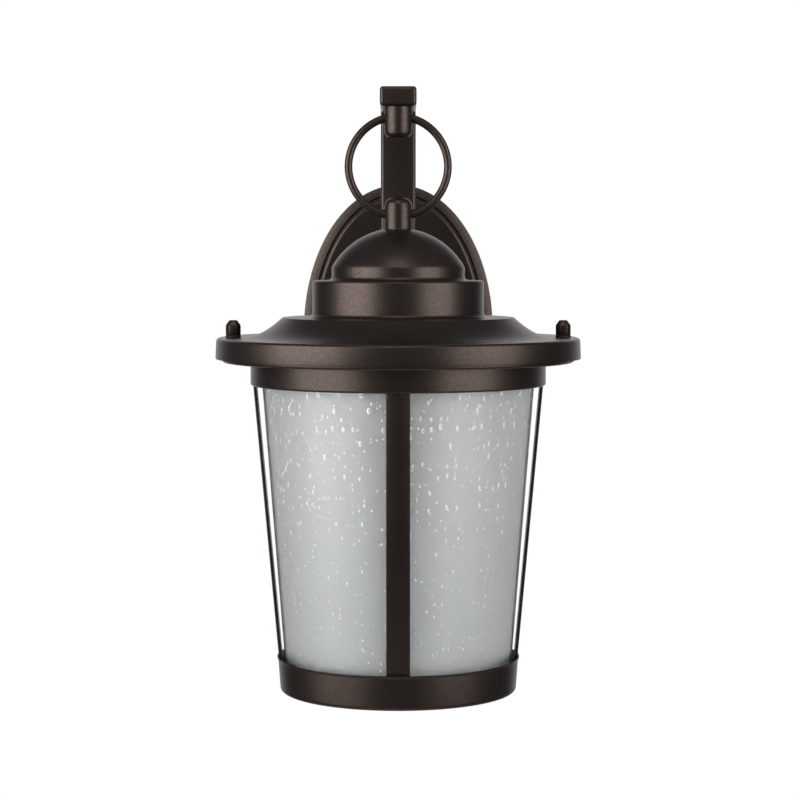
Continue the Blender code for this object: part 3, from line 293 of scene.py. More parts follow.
def corner(centre, radius, start, end, steps=5):
    """Points round a corner: a centre and angles in degrees in the plane of the outline."""
    points = []
    for step in range(steps + 1):
        angle = radians(start + (end - start) * step / steps)
        points.append((centre[0] + radius * cos(angle), centre[1] + radius * sin(angle)))
    return points


bronze = dark_bronze()
BRONZE_SLOT = "bronze_paint"
CANOPY_SIDES = 192
CANOPY_WALL = 1.8 * MM
CANOPY_STEP = 6.0 * MM
CANOPY_STEP_WIDTH = 5.6 * MM
CANOPY_STEP_EDGE = 1.2 * MM
CANOPY_CROWN = 1.3 * MM
CANOPY_FALL = 1.4
CANOPY_GROOVE = 1.2 * MM
CANOPY_FACE_EDGE = 2.5 * MM
CANOPY_LINE = 0.3 * MM
GROMMET_HOLE = 5.2 * MM
CUT_LENGTH = 10.0 * MM
canopy_low, canopy_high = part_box("canopy")


def canopy_outline():
    """(inset, y) points from inside the front face, round the wall edge, to the front face."""
    front, back = canopy_low.y, canopy_high.y
    step = -CANOPY_STEP
    foot = CANOPY_STEP_WIDTH + CANOPY_GROOVE
    outline = [(foot + CANOPY_FACE_EDGE, front + CANOPY_WALL)]
    outline += [(foot + CANOPY_WALL, front + CANOPY_WALL + CANOPY_FACE_EDGE / 2)]
    outline += [(foot + CANOPY_WALL, step + CANOPY_GROOVE + CANOPY_WALL)]
    outline += [(CANOPY_WALL, step + CANOPY_GROOVE + CANOPY_WALL), (CANOPY_WALL, back), (0.0, back)]
    outline += [(0.0, step + CANOPY_CROWN + CANOPY_STEP_EDGE)]
    for share in (0.0, 0.1, 0.25, 0.45, 0.7):
        inset = CANOPY_LINE + share * (CANOPY_STEP_WIDTH - CANOPY_LINE)
        outline += [(inset, step + CANOPY_CROWN * (1.0 - share) ** CANOPY_FALL)]
    outline += [(CANOPY_STEP_WIDTH - CANOPY_LINE, step), (CANOPY_STEP_WIDTH, step + CANOPY_LINE)]
    outline += [(CANOPY_STEP_WIDTH + CANOPY_LINE, step + CANOPY_GROOVE)]
    outline += [(foot - CANOPY_LINE, step + CANOPY_GROOVE), (foot, step + CANOPY_LINE)]
    edge = corner((0.0, front + CANOPY_FACE_EDGE), CANOPY_FACE_EDGE, 0, -90)
    outline += [(foot + CANOPY_FACE_EDGE - r, y) for r, y in edge]
    outline += [(foot + CANOPY_FACE_EDGE + CANOPY_LINE, front)]
    return outline


def press_oval(outline, half_width, half_height, sides):
    """Draws a filled oval out loop by loop, then fills the last loop, which makes a closed dish."""
    deselect()
    inset, y = outline[0]
    bpy.ops.mesh.primitive_circle_add(
        vertices=sides, radius=1.0, fill_type="NGON", location=(0.0, y, 0.0),
        rotation=(pi / 2, 0.0, 0.0),
    )
    oval = bpy.context.object
    bpy.ops.object.mode_set(mode="EDIT")
    size = (half_width - inset, half_height - inset)
    bpy.ops.transform.resize(value=(size[0], 1.0, size[1]), center_override=(0.0, y, 0.0))
    bpy.ops.mesh.region_to_loop()
    for inset, next_y in outline[1:]:
        bpy.ops.mesh.extrude_edges_move(TRANSFORM_OT_translate={"value": (0.0, next_y - y, 0.0)})
        next_size = (half_width - inset, half_height - inset)
        scale = (next_size[0] / size[0], 1.0, next_size[1] / size[1])
        bpy.ops.transform.resize(value=scale, center_override=(0.0, next_y, 0.0))
        size, y = next_size, next_y
    bpy.ops.mesh.edge_face_add()
    close_mesh()
    return oval


half_size = (canopy_high - canopy_low) / 2
canopy = press_oval(canopy_outline(), half_size.x, half_size.z, CANOPY_SIDES)
grommet_low, grommet_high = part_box("canopy_grommet")
grommet_place = (grommet_low + grommet_high) / 2
cut_away(canopy, hole_cutter(GROMMET_HOLE, grommet_place, CUT_LENGTH, (pi / 2, 0.0, 0.0)))
finish_piece(canopy, "canopy_dish", bronze, "wall_mount", BRONZE_SLOT, "canopy")


# ---- Canopy cap nuts ----
# Two hexagonal cap nuts, left and right of the arm, screw onto the studs and hold the canopy.
# Each has six sides, a blunt tapered cap and a blind hole. They match the rest of the bronze.

CANOPY_NUT_CONE = 3.0 * MM
CANOPY_NUT_TOP = 0.5
CANOPY_NUT_BORE = 2.4 * MM
NUT_EDGE = 0.35 * MM


def make_cap_nut(across, base, height, cone, top_share, bore, bore_depth):
    """A hexagonal cap nut that stands on its base, with its blind hole."""
    deselect()
    bpy.ops.mesh.primitive_circle_add(
        vertices=6, radius=across / 2 / cos(pi / 6), fill_type="NGON", location=base,
        rotation=(0.0, 0.0, pi / 6),
    )
    nut = bpy.context.object
    middle = Vector(base)
    bpy.ops.object.mode_set(mode="EDIT")
    bpy.ops.mesh.extrude_region_move(TRANSFORM_OT_translate={"value": (0.0, 0.0, height - cone)})
    bpy.ops.mesh.extrude_region_move(TRANSFORM_OT_translate={"value": (0.0, 0.0, cone)})
    top = middle + Vector((0.0, 0.0, height))
    bpy.ops.transform.resize(value=(top_share, top_share, 1.0), center_override=top)
    close_mesh()
    cut_away(nut, hole_cutter(bore, middle, 2 * bore_depth))
    round_edges(nut, NUT_EDGE, 2)
    return nut


for word in ("left", "right"):
    low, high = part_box(f"canopy_cap_nut_{word}")
    across = min(high.x - low.x, high.z - low.z)
    height = high.y - low.y
    nut = make_cap_nut(
        across, (0, 0, 0), height, CANOPY_NUT_CONE, CANOPY_NUT_TOP, CANOPY_NUT_BORE, height / 2
    )
    nut.rotation_euler = (pi / 2, 0.0, 0.0)
    nut.location = ((low.x + high.x) / 2, high.y, (low.z + high.z) / 2)
    node = f"canopy_cap_nut_{word}"
    finish_piece(nut, f"canopy_nut_{word}", bronze, "wall_mount", BRONZE_SLOT, node)


# ---- Gasket ----
# A strip of closed cell foam, die cut to the canopy's oval and stuck behind its edge. It keeps rain
# off the wall box.


def soft_matt(name, colour, scale, depth, level):
    """Foam or rubber: one dark colour with a fine, uneven skin."""
    made, shader, start = new_material(name)
    place = surface_place(start)
    skin = noise(place, scale, 3.0)
    light = tuple(1.6 * value for value in colour)
    feed(shader, "Base Color", place.blend(skin.step(0.35, 0.75), (*colour, 1.0), (*light, 1.0)))
    feed(shader, "Roughness", level + 0.15 * skin)
    feed(shader, "Normal", relief(skin, depth))
    return made


foam = soft_matt("closed cell foam", (0.02, 0.02, 0.021), 1400.0, 0.1 * MM, 0.75)
rubber = soft_matt("matt black rubber", (0.014, 0.014, 0.014), 500.0, 0.02 * MM, 0.55)
dress(foam, "canopy_gasket")


# ---- Arm ----
# One solid rectangular bar, bent cold into a step: out of the canopy, up, and forward over the
# lantern. Its long edges and its front end are rounded.

ARM_THICKNESS = 10.6 * MM
ARM_BEND = 6.0 * MM
ARM_EDGE = 1.8 * MM
ARM_FOOT = 30.0 * MM
ARM_UPRIGHT_FRONT = 63.0 * MM
ARM_BEND_STEPS = 16
ARM_EDGE_ANGLE = 40.0
arm_low, arm_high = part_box("arm")


def bend_bar():
    """Pushes the bar's section back from its front end, down and back again to the canopy."""
    top_middle = arm_high.z - ARM_THICKNESS / 2
    upright_front = AXIS_Y + ARM_UPRIGHT_FRONT
    deselect()
    bpy.ops.mesh.primitive_plane_add(
        size=1.0, location=(0.0, arm_low.y, top_middle), rotation=(pi / 2, 0.0, 0.0)
    )
    bar = bpy.context.object
    bpy.ops.object.mode_set(mode="EDIT")
    width = arm_high.x - arm_low.x
    place = (0.0, arm_low.y, top_middle)
    bpy.ops.transform.resize(value=(width, 1.0, ARM_THICKNESS), center_override=place)
    over = upright_front - ARM_BEND - arm_low.y
    bpy.ops.mesh.extrude_region_move(TRANSFORM_OT_translate={"value": (0.0, over, 0.0)})
    elbow = (0.0, upright_front - ARM_BEND, arm_high.z - ARM_THICKNESS - ARM_BEND)
    bpy.ops.mesh.spin(steps=ARM_BEND_STEPS, angle=pi / 2, center=elbow, axis=(1.0, 0.0, 0.0))
    lower_elbow_z = ARM_FOOT + ARM_THICKNESS / 2 + ARM_BEND
    fall = lower_elbow_z - elbow[2]
    bpy.ops.mesh.extrude_region_move(TRANSFORM_OT_translate={"value": (0.0, 0.0, fall)})
    elbow = (0.0, upright_front + ARM_THICKNESS + ARM_BEND, lower_elbow_z)
    bpy.ops.mesh.spin(steps=ARM_BEND_STEPS, angle=-pi / 2, center=elbow, axis=(1.0, 0.0, 0.0))
    back = arm_high.y - elbow[1]
    bpy.ops.mesh.extrude_region_move(TRANSFORM_OT_translate={"value": (0.0, back, 0.0)})
    close_mesh()
    return bar


arm = bend_bar()
round_edges(arm, ARM_EDGE, 4, ARM_EDGE_ANGLE, clamp=False)
finish_piece(arm, "bent_arm", bronze, "wall_mount", BRONZE_SLOT, "arm")


# ---- Upper knob ----
# A turned boss riveted up into the arm. A hole across it, bored to the ring's own curve, lets the
# ring swing. A fine line parts its barrel from its rounded end.

KNOB_SIDES = 96
WIRE_GAP = 0.35 * MM
KNOB_LINE = 0.15 * MM
UPPER_DOME = 3.4 * MM
ring_low, ring_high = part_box("hanger_ring")
WIRE_RADIUS = (ring_high.y - ring_low.y) / 2
RING_RADIUS = (ring_high.x - ring_low.x) / 2 - WIRE_RADIUS
ring_centre = (ring_low + ring_high) / 2


def turn(outline, sides, x=0.0, y=AXIS_Y, filled=True):
    """Draws a circle out ring by ring through (radius, height) points, as a lathe would turn it.

    It starts as a filled disc, or as a bare ring that the last point meets again.
    """
    deselect()
    radius, height = outline[0]
    fill = "NGON" if filled else "NOTHING"
    bpy.ops.mesh.primitive_circle_add(
        vertices=sides, radius=radius, location=(x, y, height), fill_type=fill
    )
    turned = bpy.context.object
    bpy.ops.object.mode_set(mode="EDIT")
    if filled:
        bpy.ops.mesh.region_to_loop()
    for next_radius, next_height in outline[1:]:
        rise = next_height - height
        bpy.ops.mesh.extrude_edges_move(TRANSFORM_OT_translate={"value": (0.0, 0.0, rise)})
        if next_radius == 0.0:
            bpy.ops.mesh.merge(type="CENTER")
            break
        widen = next_radius / radius
        place = (x, y, next_height)
        bpy.ops.transform.resize(value=(widen, widen, 1.0), center_override=place)
        radius, height = next_radius, next_height
    close_mesh()
    return turned


def ring_bore():
    """A ring a little thicker than the hanger ring, to cut the hole that it swings in."""
    deselect()
    bpy.ops.mesh.primitive_torus_add(
        major_radius=RING_RADIUS, minor_radius=WIRE_RADIUS + WIRE_GAP, major_segments=160,
        minor_segments=32, location=ring_centre, rotation=(pi / 2, 0.0, 0.0),
    )
    return bpy.context.object


def domed(radius, barrel_end, dome, sign):
    """The end of a knob: a fine line, then a quarter round and a flat tip, up (1) or down (-1)."""
    centre = (radius - dome, barrel_end)
    points = corner(centre, dome - KNOB_LINE, 0, 90, 10)
    points = [(r, barrel_end + sign * (z - barrel_end)) for r, z in points]
    tip = (0.0, barrel_end + sign * (dome - KNOB_LINE))
    return [(radius - KNOB_LINE, barrel_end), *points, tip]


knob_low, knob_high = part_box("upper_knob")
UPPER_RADIUS = (knob_high.x - knob_low.x) / 2
SPIGOT_RADIUS = 2.5 * MM
SPIGOT_LENGTH = 4.3 * MM
knob_top = knob_high.z - SPIGOT_LENGTH
outline = [(SPIGOT_RADIUS, knob_high.z), (SPIGOT_RADIUS, knob_top), (UPPER_RADIUS, knob_top)]
barrel_end = knob_low.z + UPPER_DOME
outline += [(UPPER_RADIUS, barrel_end + KNOB_LINE)]
outline += domed(UPPER_RADIUS, barrel_end, UPPER_DOME, -1)
upper_knob = turn(outline, KNOB_SIDES)
cut_away(upper_knob, ring_bore())
finish_piece(upper_knob, "arm_knob", bronze, "wall_mount", BRONZE_SLOT, "upper_knob")


# ---- Hanger ring ----
# A ring of round steel wire, bent round a former and butt welded. The ground weld, which sits
# inside the upper knob, is left very slightly thicker than the wire.

WELD_SWELL = 1.04
WELD_HALF_WIDTH = 1.5 * MM
deselect()
bpy.ops.mesh.primitive_torus_add(
    major_radius=RING_RADIUS, minor_radius=WIRE_RADIUS, major_segments=256, minor_segments=32,
    location=ring_centre, rotation=(pi / 2, 0.0, 0.0),
)
ring = bpy.context.object
bpy.ops.object.mode_set(mode="EDIT")
bpy.ops.mesh.select_all(action="DESELECT")
bpy.ops.object.mode_set(mode="OBJECT")
for vertex in ring.data.vertices:
    place = ring.matrix_world @ vertex.co
    vertex.select = abs(place.x) < WELD_HALF_WIDTH and place.z > ring_centre.z
bpy.ops.object.mode_set(mode="EDIT")
weld_place = ring_centre + Vector((0.0, 0.0, RING_RADIUS))
bpy.ops.transform.resize(value=(1.0, WELD_SWELL, 1.0), center_override=weld_place)
bpy.ops.object.mode_set(mode="OBJECT")
finish_piece(ring, "wire_ring", bronze, "ring", BRONZE_SLOT, "hanger_ring")


# ---- Lower knob ----
# The same boss the other way up, screwed onto the threaded tube that holds the roof. The lantern
# hangs from it.

LOWER_DOME = 4.5 * MM
LOWER_BORE = 5.1 * MM
LOWER_BORE_CUT = 6.6 * MM
knob_low, knob_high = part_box("lower_knob")
LOWER_RADIUS = (knob_high.x - knob_low.x) / 2
barrel_end = knob_high.z - LOWER_DOME
outline = [(LOWER_RADIUS, knob_low.z), (LOWER_RADIUS, barrel_end - KNOB_LINE)]
outline += domed(LOWER_RADIUS, barrel_end, LOWER_DOME, 1)
lower_knob = turn(outline, KNOB_SIDES)
cut_away(lower_knob, ring_bore())
cut_away(lower_knob, hole_cutter(LOWER_BORE, (0.0, AXIS_Y, knob_low.z), LOWER_BORE_CUT))
finish_piece(lower_knob, "roof_knob", bronze, "lantern", BRONZE_SLOT, "lower_knob")


# ---- Roof ----
# One round sheet metal shell: a dome with a short upright band, a plain collar, a hollow slope
# and a deep rolled rim. Its bends are soft, as spinning over a former leaves them.

ROOF_SIDES = 256
ROOF_WALL = 2.2 * MM
DOME_RADIUS = 42.2 * MM
DOME_EDGE = 36.9 * MM
DOME_BAND = 4.6 * MM
DOME_FILLET = 2.8 * MM
DOME_SOFT_WIDTH = 0.1 * MM
DOME_SOFT_HEIGHT = 0.9 * MM
BOSS_RADIUS = 8.2 * MM
COLLAR_RADIUS = 47.7 * MM
COLLAR_HEIGHT = 20.0 * MM
COLLAR_EDGE = 1.3 * MM
COLLAR_FILLET = 2.4 * MM
SHOULDER_RADIUS = 64.5 * MM
SHOULDER_FALL = 0.6 * MM
SHOULDER_EDGE = 1.6 * MM
COVE_RADIUS = 85.0 * MM
COVE_DROP = 11.1 * MM
COVE_HOLLOW = 1.7
COVE_STEPS = 24
RIM_HEIGHT = 11.5 * MM
RIM_EDGE = 2.0 * MM
RIM_FLARE = 0.4 * MM
RIM_LIP = 0.5 * MM
ROOF_HOLE = 5.1 * MM
STUD_HOLE = 2.3 * MM
rim_radius = (roof_high.x - roof_low.x) / 2
rim_bottom = roof_low.z
rim_top = rim_bottom + RIM_HEIGHT
boss_top = roof_high.z
dome_centre = boss_top - sqrt(DOME_RADIUS**2 - BOSS_RADIUS**2)
dome_edge_height = dome_centre + sqrt(DOME_RADIUS**2 - DOME_EDGE**2)
band_foot = dome_edge_height - DOME_BAND
shelf = band_foot - DOME_FILLET
collar_foot = shelf - COLLAR_HEIGHT


def dome_angle(radius):
    """How far up the dome a radius is, in degrees."""
    return degrees(acos(radius / DOME_RADIUS))


def cove(radius, below=0.0):
    """Height of the hollow slope at a radius, or of a line below it."""
    along = (radius - SHOULDER_RADIUS) / (COVE_RADIUS - SHOULDER_RADIUS)
    return rim_top + COVE_DROP * (1 - along) ** COVE_HOLLOW - below


def slope(shares, below=0.0):
    """Points down the hollow slope, at shares of the way from its shoulder to the flat."""
    radii = [SHOULDER_RADIUS + (COVE_RADIUS - SHOULDER_RADIUS) * share for share in shares]
    return [(radius, cove(radius, below)) for radius in radii]


def roof_outline():
    """The shell's outline, out over the top to the rim and back underneath to the hole."""
    rim = rim_radius - RIM_FLARE - RIM_EDGE
    dome_start, dome_end = dome_angle(BOSS_RADIUS), dome_angle(DOME_EDGE)
    collar_bend = (COLLAR_RADIUS + COLLAR_FILLET, collar_foot + COLLAR_FILLET)
    outline = [(ROOF_HOLE, boss_top)]
    outline += corner((0.0, dome_centre), DOME_RADIUS, dome_start, dome_end, 24)
    outline += [(DOME_EDGE + DOME_SOFT_WIDTH, dome_edge_height - DOME_SOFT_HEIGHT)]
    outline += corner((DOME_EDGE + DOME_FILLET, band_foot), DOME_FILLET, 180, 268, 8)
    outline += corner((COLLAR_RADIUS - COLLAR_EDGE, shelf - COLLAR_EDGE), COLLAR_EDGE, 88, 0, 6)
    outline += corner(collar_bend, COLLAR_FILLET, 180, 269, 7)
    outline += [(SHOULDER_RADIUS - SHOULDER_EDGE, collar_foot - 0.7 * SHOULDER_FALL)]
    outline += slope([step / COVE_STEPS for step in range(COVE_STEPS + 1)])
    outline += corner((rim, rim_top - RIM_EDGE), RIM_EDGE, 90, 4, 7)
    outline += [(rim_radius, rim_bottom + RIM_LIP), (rim_radius - 0.35 * RIM_LIP, rim_bottom)]
    outline += [(rim_radius - ROOF_WALL, rim_bottom)]
    outline += [(rim_radius - RIM_FLARE - ROOF_WALL, rim_top - ROOF_WALL)]
    outline += slope([1.0, 0.75, 0.5, 0.25, 0.0], ROOF_WALL)
    outline += [(COLLAR_RADIUS - ROOF_WALL, collar_foot - ROOF_WALL)]
    outline += [(COLLAR_RADIUS - ROOF_WALL, shelf - ROOF_WALL)]
    outline += [(DOME_EDGE - ROOF_WALL, shelf - ROOF_WALL)]
    outline += corner((0.0, dome_centre), DOME_RADIUS - ROOF_WALL, dome_end, dome_start, 10)
    outline += [(ROOF_HOLE, boss_top - ROOF_WALL), (ROOF_HOLE, boss_top)]
    return outline


roof = turn(roof_outline(), ROOF_SIDES, filled=False)
grommet_low, grommet_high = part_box("collar_grommet")
grommet_place = (grommet_low + grommet_high) / 2
cut_away(roof, hole_cutter(GROMMET_HOLE, grommet_place, CUT_LENGTH, (pi / 2, 0.0, 0.0)))
for word in ("left", "right"):
    low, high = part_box(f"cage_stud_{word}")
    cut_away(roof, hole_cutter(STUD_HOLE, ((low.x + high.x) / 2, AXIS_Y, rim_top), CUT_LENGTH))
finish_piece(roof, "roof_shell", bronze, "lantern", BRONZE_SLOT, "roof")
dress(zinc, "roof_nipple", "roof_locknut", "cage_stud_left", "cage_stud_right")


# ---- Cap nuts on the rim ----
# Two hexagonal cap nuts with blunt tapered caps, each on a thin black washer. They screw onto the
# studs of the cage, and come off to take the roof from the glass. The washers fill their gaps.

CAP_NUT_CONE = 2.8 * MM
CAP_NUT_TOP = 0.52
CAP_NUT_BORE = 2.3 * MM
CAP_NUT_DEPTH = 5.6 * MM
WASHER_SIDES = 64
WASHER_EDGE = 0.15 * MM
WASHER_SWELL = 0.25 * MM
for word in ("left", "right"):
    low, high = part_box(f"cap_nut_{word}")
    across = min(high.x - low.x, high.y - low.y)
    base = ((low.x + high.x) / 2, AXIS_Y, low.z)
    height = high.z - low.z
    nut = make_cap_nut(across, base, height, CAP_NUT_CONE, CAP_NUT_TOP, CAP_NUT_BORE, CAP_NUT_DEPTH)
    finish_piece(nut, f"rim_nut_{word}", bronze, f"{word}_cap_nut", BRONZE_SLOT, f"cap_nut_{word}")
    low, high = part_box(f"cap_nut_washer_{word}")
    outer, inner = (high.x - low.x) / 2, CAP_NUT_BORE
    foot, head = low.z - WASHER_SWELL, high.z + WASHER_SWELL
    outline = [(inner, foot), (outer - WASHER_EDGE, foot), (outer, foot + WASHER_EDGE)]
    outline += [(outer, head - WASHER_EDGE), (outer - WASHER_EDGE, head)]
    outline += [(inner, head), (inner, foot)]
    washer = turn(outline, WASHER_SIDES, x=base[0], filled=False)
    node = f"cap_nut_washer_{word}"
    finish_piece(washer, f"rim_washer_{word}", rubber, "lantern", "black_rubber", node)


# ---- Cage: pan and rings ----
# The pan closes the underside of the roof. The upper ring hangs below it round the top of the
# glass, and the base ring is a shallow open cup that the glass stands in.

PAN_WALL = 1.5 * MM
PAN_OPENING = 62.0 * MM
RING_WALL = 1.2 * MM
BASE_LIP_WALL = 0.5 * MM
BASE_LIP = 0.6 * MM
BASE_LIP_HEIGHT = 1.6 * MM
BASE_LIP_EDGE = 0.1 * MM
BASE_TAPER = 1.1 * MM
BASE_WALL = 1.0 * MM
BASE_EDGE = 2.4 * MM
BASE_OPENING = 48.0 * MM

low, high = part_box("cage_pan")
pan = (high.x - low.x) / 2
outline = [(PAN_OPENING, low.z)] + corner((pan - PAN_WALL, low.z + PAN_WALL), PAN_WALL, -90, 0)
outline += [(pan, high.z), (pan - PAN_WALL, high.z), (pan - PAN_WALL, low.z + PAN_WALL)]
outline += [(PAN_OPENING, low.z + PAN_WALL), (PAN_OPENING, low.z)]
roof_pan = turn(outline, ROOF_SIDES, filled=False)
finish_piece(roof_pan, "roof_pan", bronze, "lantern", BRONZE_SLOT, "cage_pan")

low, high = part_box("upper_ring")
outer = (high.x - low.x) / 2
inner = outer - RING_WALL
outline = [(inner, high.z), (inner, low.z)]
outline += corner((inner, low.z + RING_WALL), RING_WALL, -84, 0)
outline += [(outer, high.z), (inner, high.z)]
band = turn(outline, ROOF_SIDES, filled=False)
finish_piece(band, "glass_band", bronze, "lantern", BRONZE_SLOT, "upper_ring")

low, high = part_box("base_ring")
lip = (high.x - low.x) / 2
wall = lip - BASE_LIP
foot = wall - BASE_TAPER
floor_height = low.z + BASE_WALL
outline = [(lip - BASE_LIP_WALL, high.z), (lip - BASE_LIP_EDGE, high.z)]
outline += [(lip, high.z - BASE_LIP_EDGE), (lip, high.z - 0.4 * BASE_LIP_HEIGHT)]
outline += [(lip - 0.3 * BASE_LIP, high.z - 0.7 * BASE_LIP_HEIGHT)]
outline += [(wall, high.z - BASE_LIP_HEIGHT)]
outline += corner((foot - BASE_EDGE, low.z + BASE_EDGE), BASE_EDGE, 0, -90, 8)
outline += [(BASE_OPENING, low.z), (BASE_OPENING, floor_height), (foot - BASE_EDGE, floor_height)]
outline += [(foot - BASE_WALL, low.z + BASE_EDGE)]
outline += [(wall - BASE_WALL, high.z - BASE_LIP_HEIGHT - BASE_WALL)]
outline += [(lip - BASE_LIP_WALL, high.z)]
cup = turn(outline, ROOF_SIDES, filled=False)
finish_piece(cup, "base_cup", bronze, "lantern", BRONZE_SLOT, "base_ring")


# ---- Cage strips ----
# Four flat steel strips, welded inside the upper ring and cranked into the base ring. The glass
# stands just inside them.

STRIP_THICKNESS = 1.6 * MM
STRIP_EDGE = 0.3 * MM
STRIP_EDGE_ANGLE = 60.0
STRIP_STRAIGHT = 0.5 * MM
STRIP_LIP_GAP = 0.5 * MM
STRIP_CUP_GAP = 0.7 * MM
STRIP_CRANK = 2.1 * MM
low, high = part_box("cage_strip_right")
band_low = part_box("upper_ring")[0]
cup_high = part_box("base_ring")[1]


def strip_face():
    """(radius, height) points down the outer face of a strip."""
    foot_out = lip - BASE_LIP - BASE_WALL - STRIP_CUP_GAP
    points = [(high.x, high.z), (high.x, band_low.z - STRIP_STRAIGHT)]
    points += [(lip - BASE_LIP - STRIP_LIP_GAP, cup_high.z), (foot_out, cup_high.z - STRIP_CRANK)]
    points += [(foot_out - BASE_TAPER, low.z)]
    return points


def bend_strip():
    """Draws a strip's outer face down from its top edge, then gives it its thickness."""
    face = strip_face()
    deselect()
    width = high.y - low.y
    bpy.ops.mesh.primitive_plane_add(size=width, location=(face[0][0], AXIS_Y, face[0][1]))
    strip = bpy.context.object
    bpy.ops.object.mode_set(mode="EDIT")
    squeeze = STRIP_THICKNESS / width
    bpy.ops.transform.resize(value=(squeeze, 1.0, 1.0))
    bpy.ops.transform.translate(value=(-STRIP_THICKNESS / 2, 0.0, 0.0))
    for (radius, height), (next_radius, next_height) in zip(face, face[1:]):
        shift = (next_radius - radius, 0.0, next_height - height)
        bpy.ops.mesh.extrude_region_move(TRANSFORM_OT_translate={"value": shift})
    close_mesh()
    round_edges(strip, STRIP_EDGE, 2, STRIP_EDGE_ANGLE)
    return strip


for turns, word in enumerate(("right", "back", "left", "front")):
    strip = bend_strip()
    deselect()
    strip.select_set(True)
    bpy.ops.object.transform_apply(location=True, rotation=True, scale=True)
    bpy.ops.object.mode_set(mode="EDIT")
    bpy.ops.mesh.select_all(action="SELECT")
    bpy.ops.transform.rotate(
        value=-turns * pi / 2, orient_axis="Z", center_override=(0.0, AXIS_Y, 0.0)
    )
    bpy.ops.object.mode_set(mode="OBJECT")
    finish_piece(strip, f"strip_{word}", bronze, "lantern", BRONZE_SLOT, f"cage_strip_{word}")


# ---- Outer glass ----
# A tapered tube of clear seeded glass. Small air bubbles, drawn long by the blowing, crowd its top
# and thin out downwards and away from the front, with more of them again at the foot.

GLASS_SIDES = 256
GLASS_WALL = 2.5 * MM
GLASS_FOOT_RADIUS = 62.4 * MM
GLASS_FIRE_EDGE = 0.6 * MM
UNROLL_RADIUS = 70.0 * MM
SEED_SPREAD = 0.88
SMALLEST_SEED = 0.35
SEED_CELL = 5.0 * MM
SEED_LENGTH = 1.7
SEED_SHARE = 0.75
SEED_SIZE = 0.23
# Painted shade: each seed's darker middle is drawn shifted right by this much, so its painted
# highlight is brightest on its left.
SEED_PAINTED_SHADE_SHIFT = 0.22 * MM
PINHEAD_CELL = 3.4 * MM
PINHEAD_LENGTH = 1.6
PINHEAD_SHARE = 0.5
PINHEAD_SIZE = 0.15
PINHEAD_SHIFT = 300.0 * MM
SEEDS_EVERYWHERE = 0.42
SEEDS_AT_TOP = 0.5
SEEDS_AT_FOOT = 0.2
SIDE_THINNING = 0.6
SIDE_FADE_START = 62.0 * MM
SIDE_FADE_END = 95.0 * MM
# The painted highlights on the seeds glow faintly with this emission, though the glass is no lamp.
PAINTED_GLINT_GLOW = 0.14
glass_low, glass_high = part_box("outer_glass")
glass_head = (glass_high.x - glass_low.x) / 2


def tube_outline(foot, head, bottom, top, wall, edge):
    """A tapered tube with fire-polished ends."""
    outline = [(foot, bottom + edge), (head, top - edge), (head - edge, top)]
    outline += [(head - wall + edge, top), (head - wall, top - edge), (foot - wall, bottom + edge)]
    outline += [(foot - wall + edge, bottom), (foot - edge, bottom), (foot, bottom + edge)]
    return outline


def unrolled(place):
    """Distance round the glass from the front, height, and distance from the axis, in metres."""
    inputs = {"Vector": place, "Location": (0.0, -AXIS_Y, 0.0)}
    centred = place.node("ShaderNodeMapping", {}, inputs)
    x, y, z = (centred.part(name) for name in "XYZ")
    around = x.maths("ARCTAN2", x, y * -1.0) * UNROLL_RADIUS
    squared = x * x + y * y
    return around, z, squared.maths("SQRT", squared)


def seeds(around, height, cell, longer, share, size):
    """Bubble shapes, from 0 outside to 1 at a bubble's middle, one at most in each cell."""
    inputs = {0: around, 1: height * (1.0 / longer), 2: 0.0}
    place = around.node("ShaderNodeCombineXYZ", {}, inputs)
    settings = {"voronoi_dimensions": "2D"}
    inputs = {"Vector": place, "Scale": 1.0 / cell, "Randomness": SEED_SPREAD}
    distance = place.node("ShaderNodeTexVoronoi", settings, inputs, "Distance")
    colour = place.node("ShaderNodeTexVoronoi", settings, inputs, "Color")
    radius = (SMALLEST_SEED + (1.0 - SMALLEST_SEED) * colour.channel("Green")) * size
    there = (share - colour.channel("Red")).step(0.0, 0.02)
    depth = (radius - distance) / radius
    return depth.larger(0.0) * there


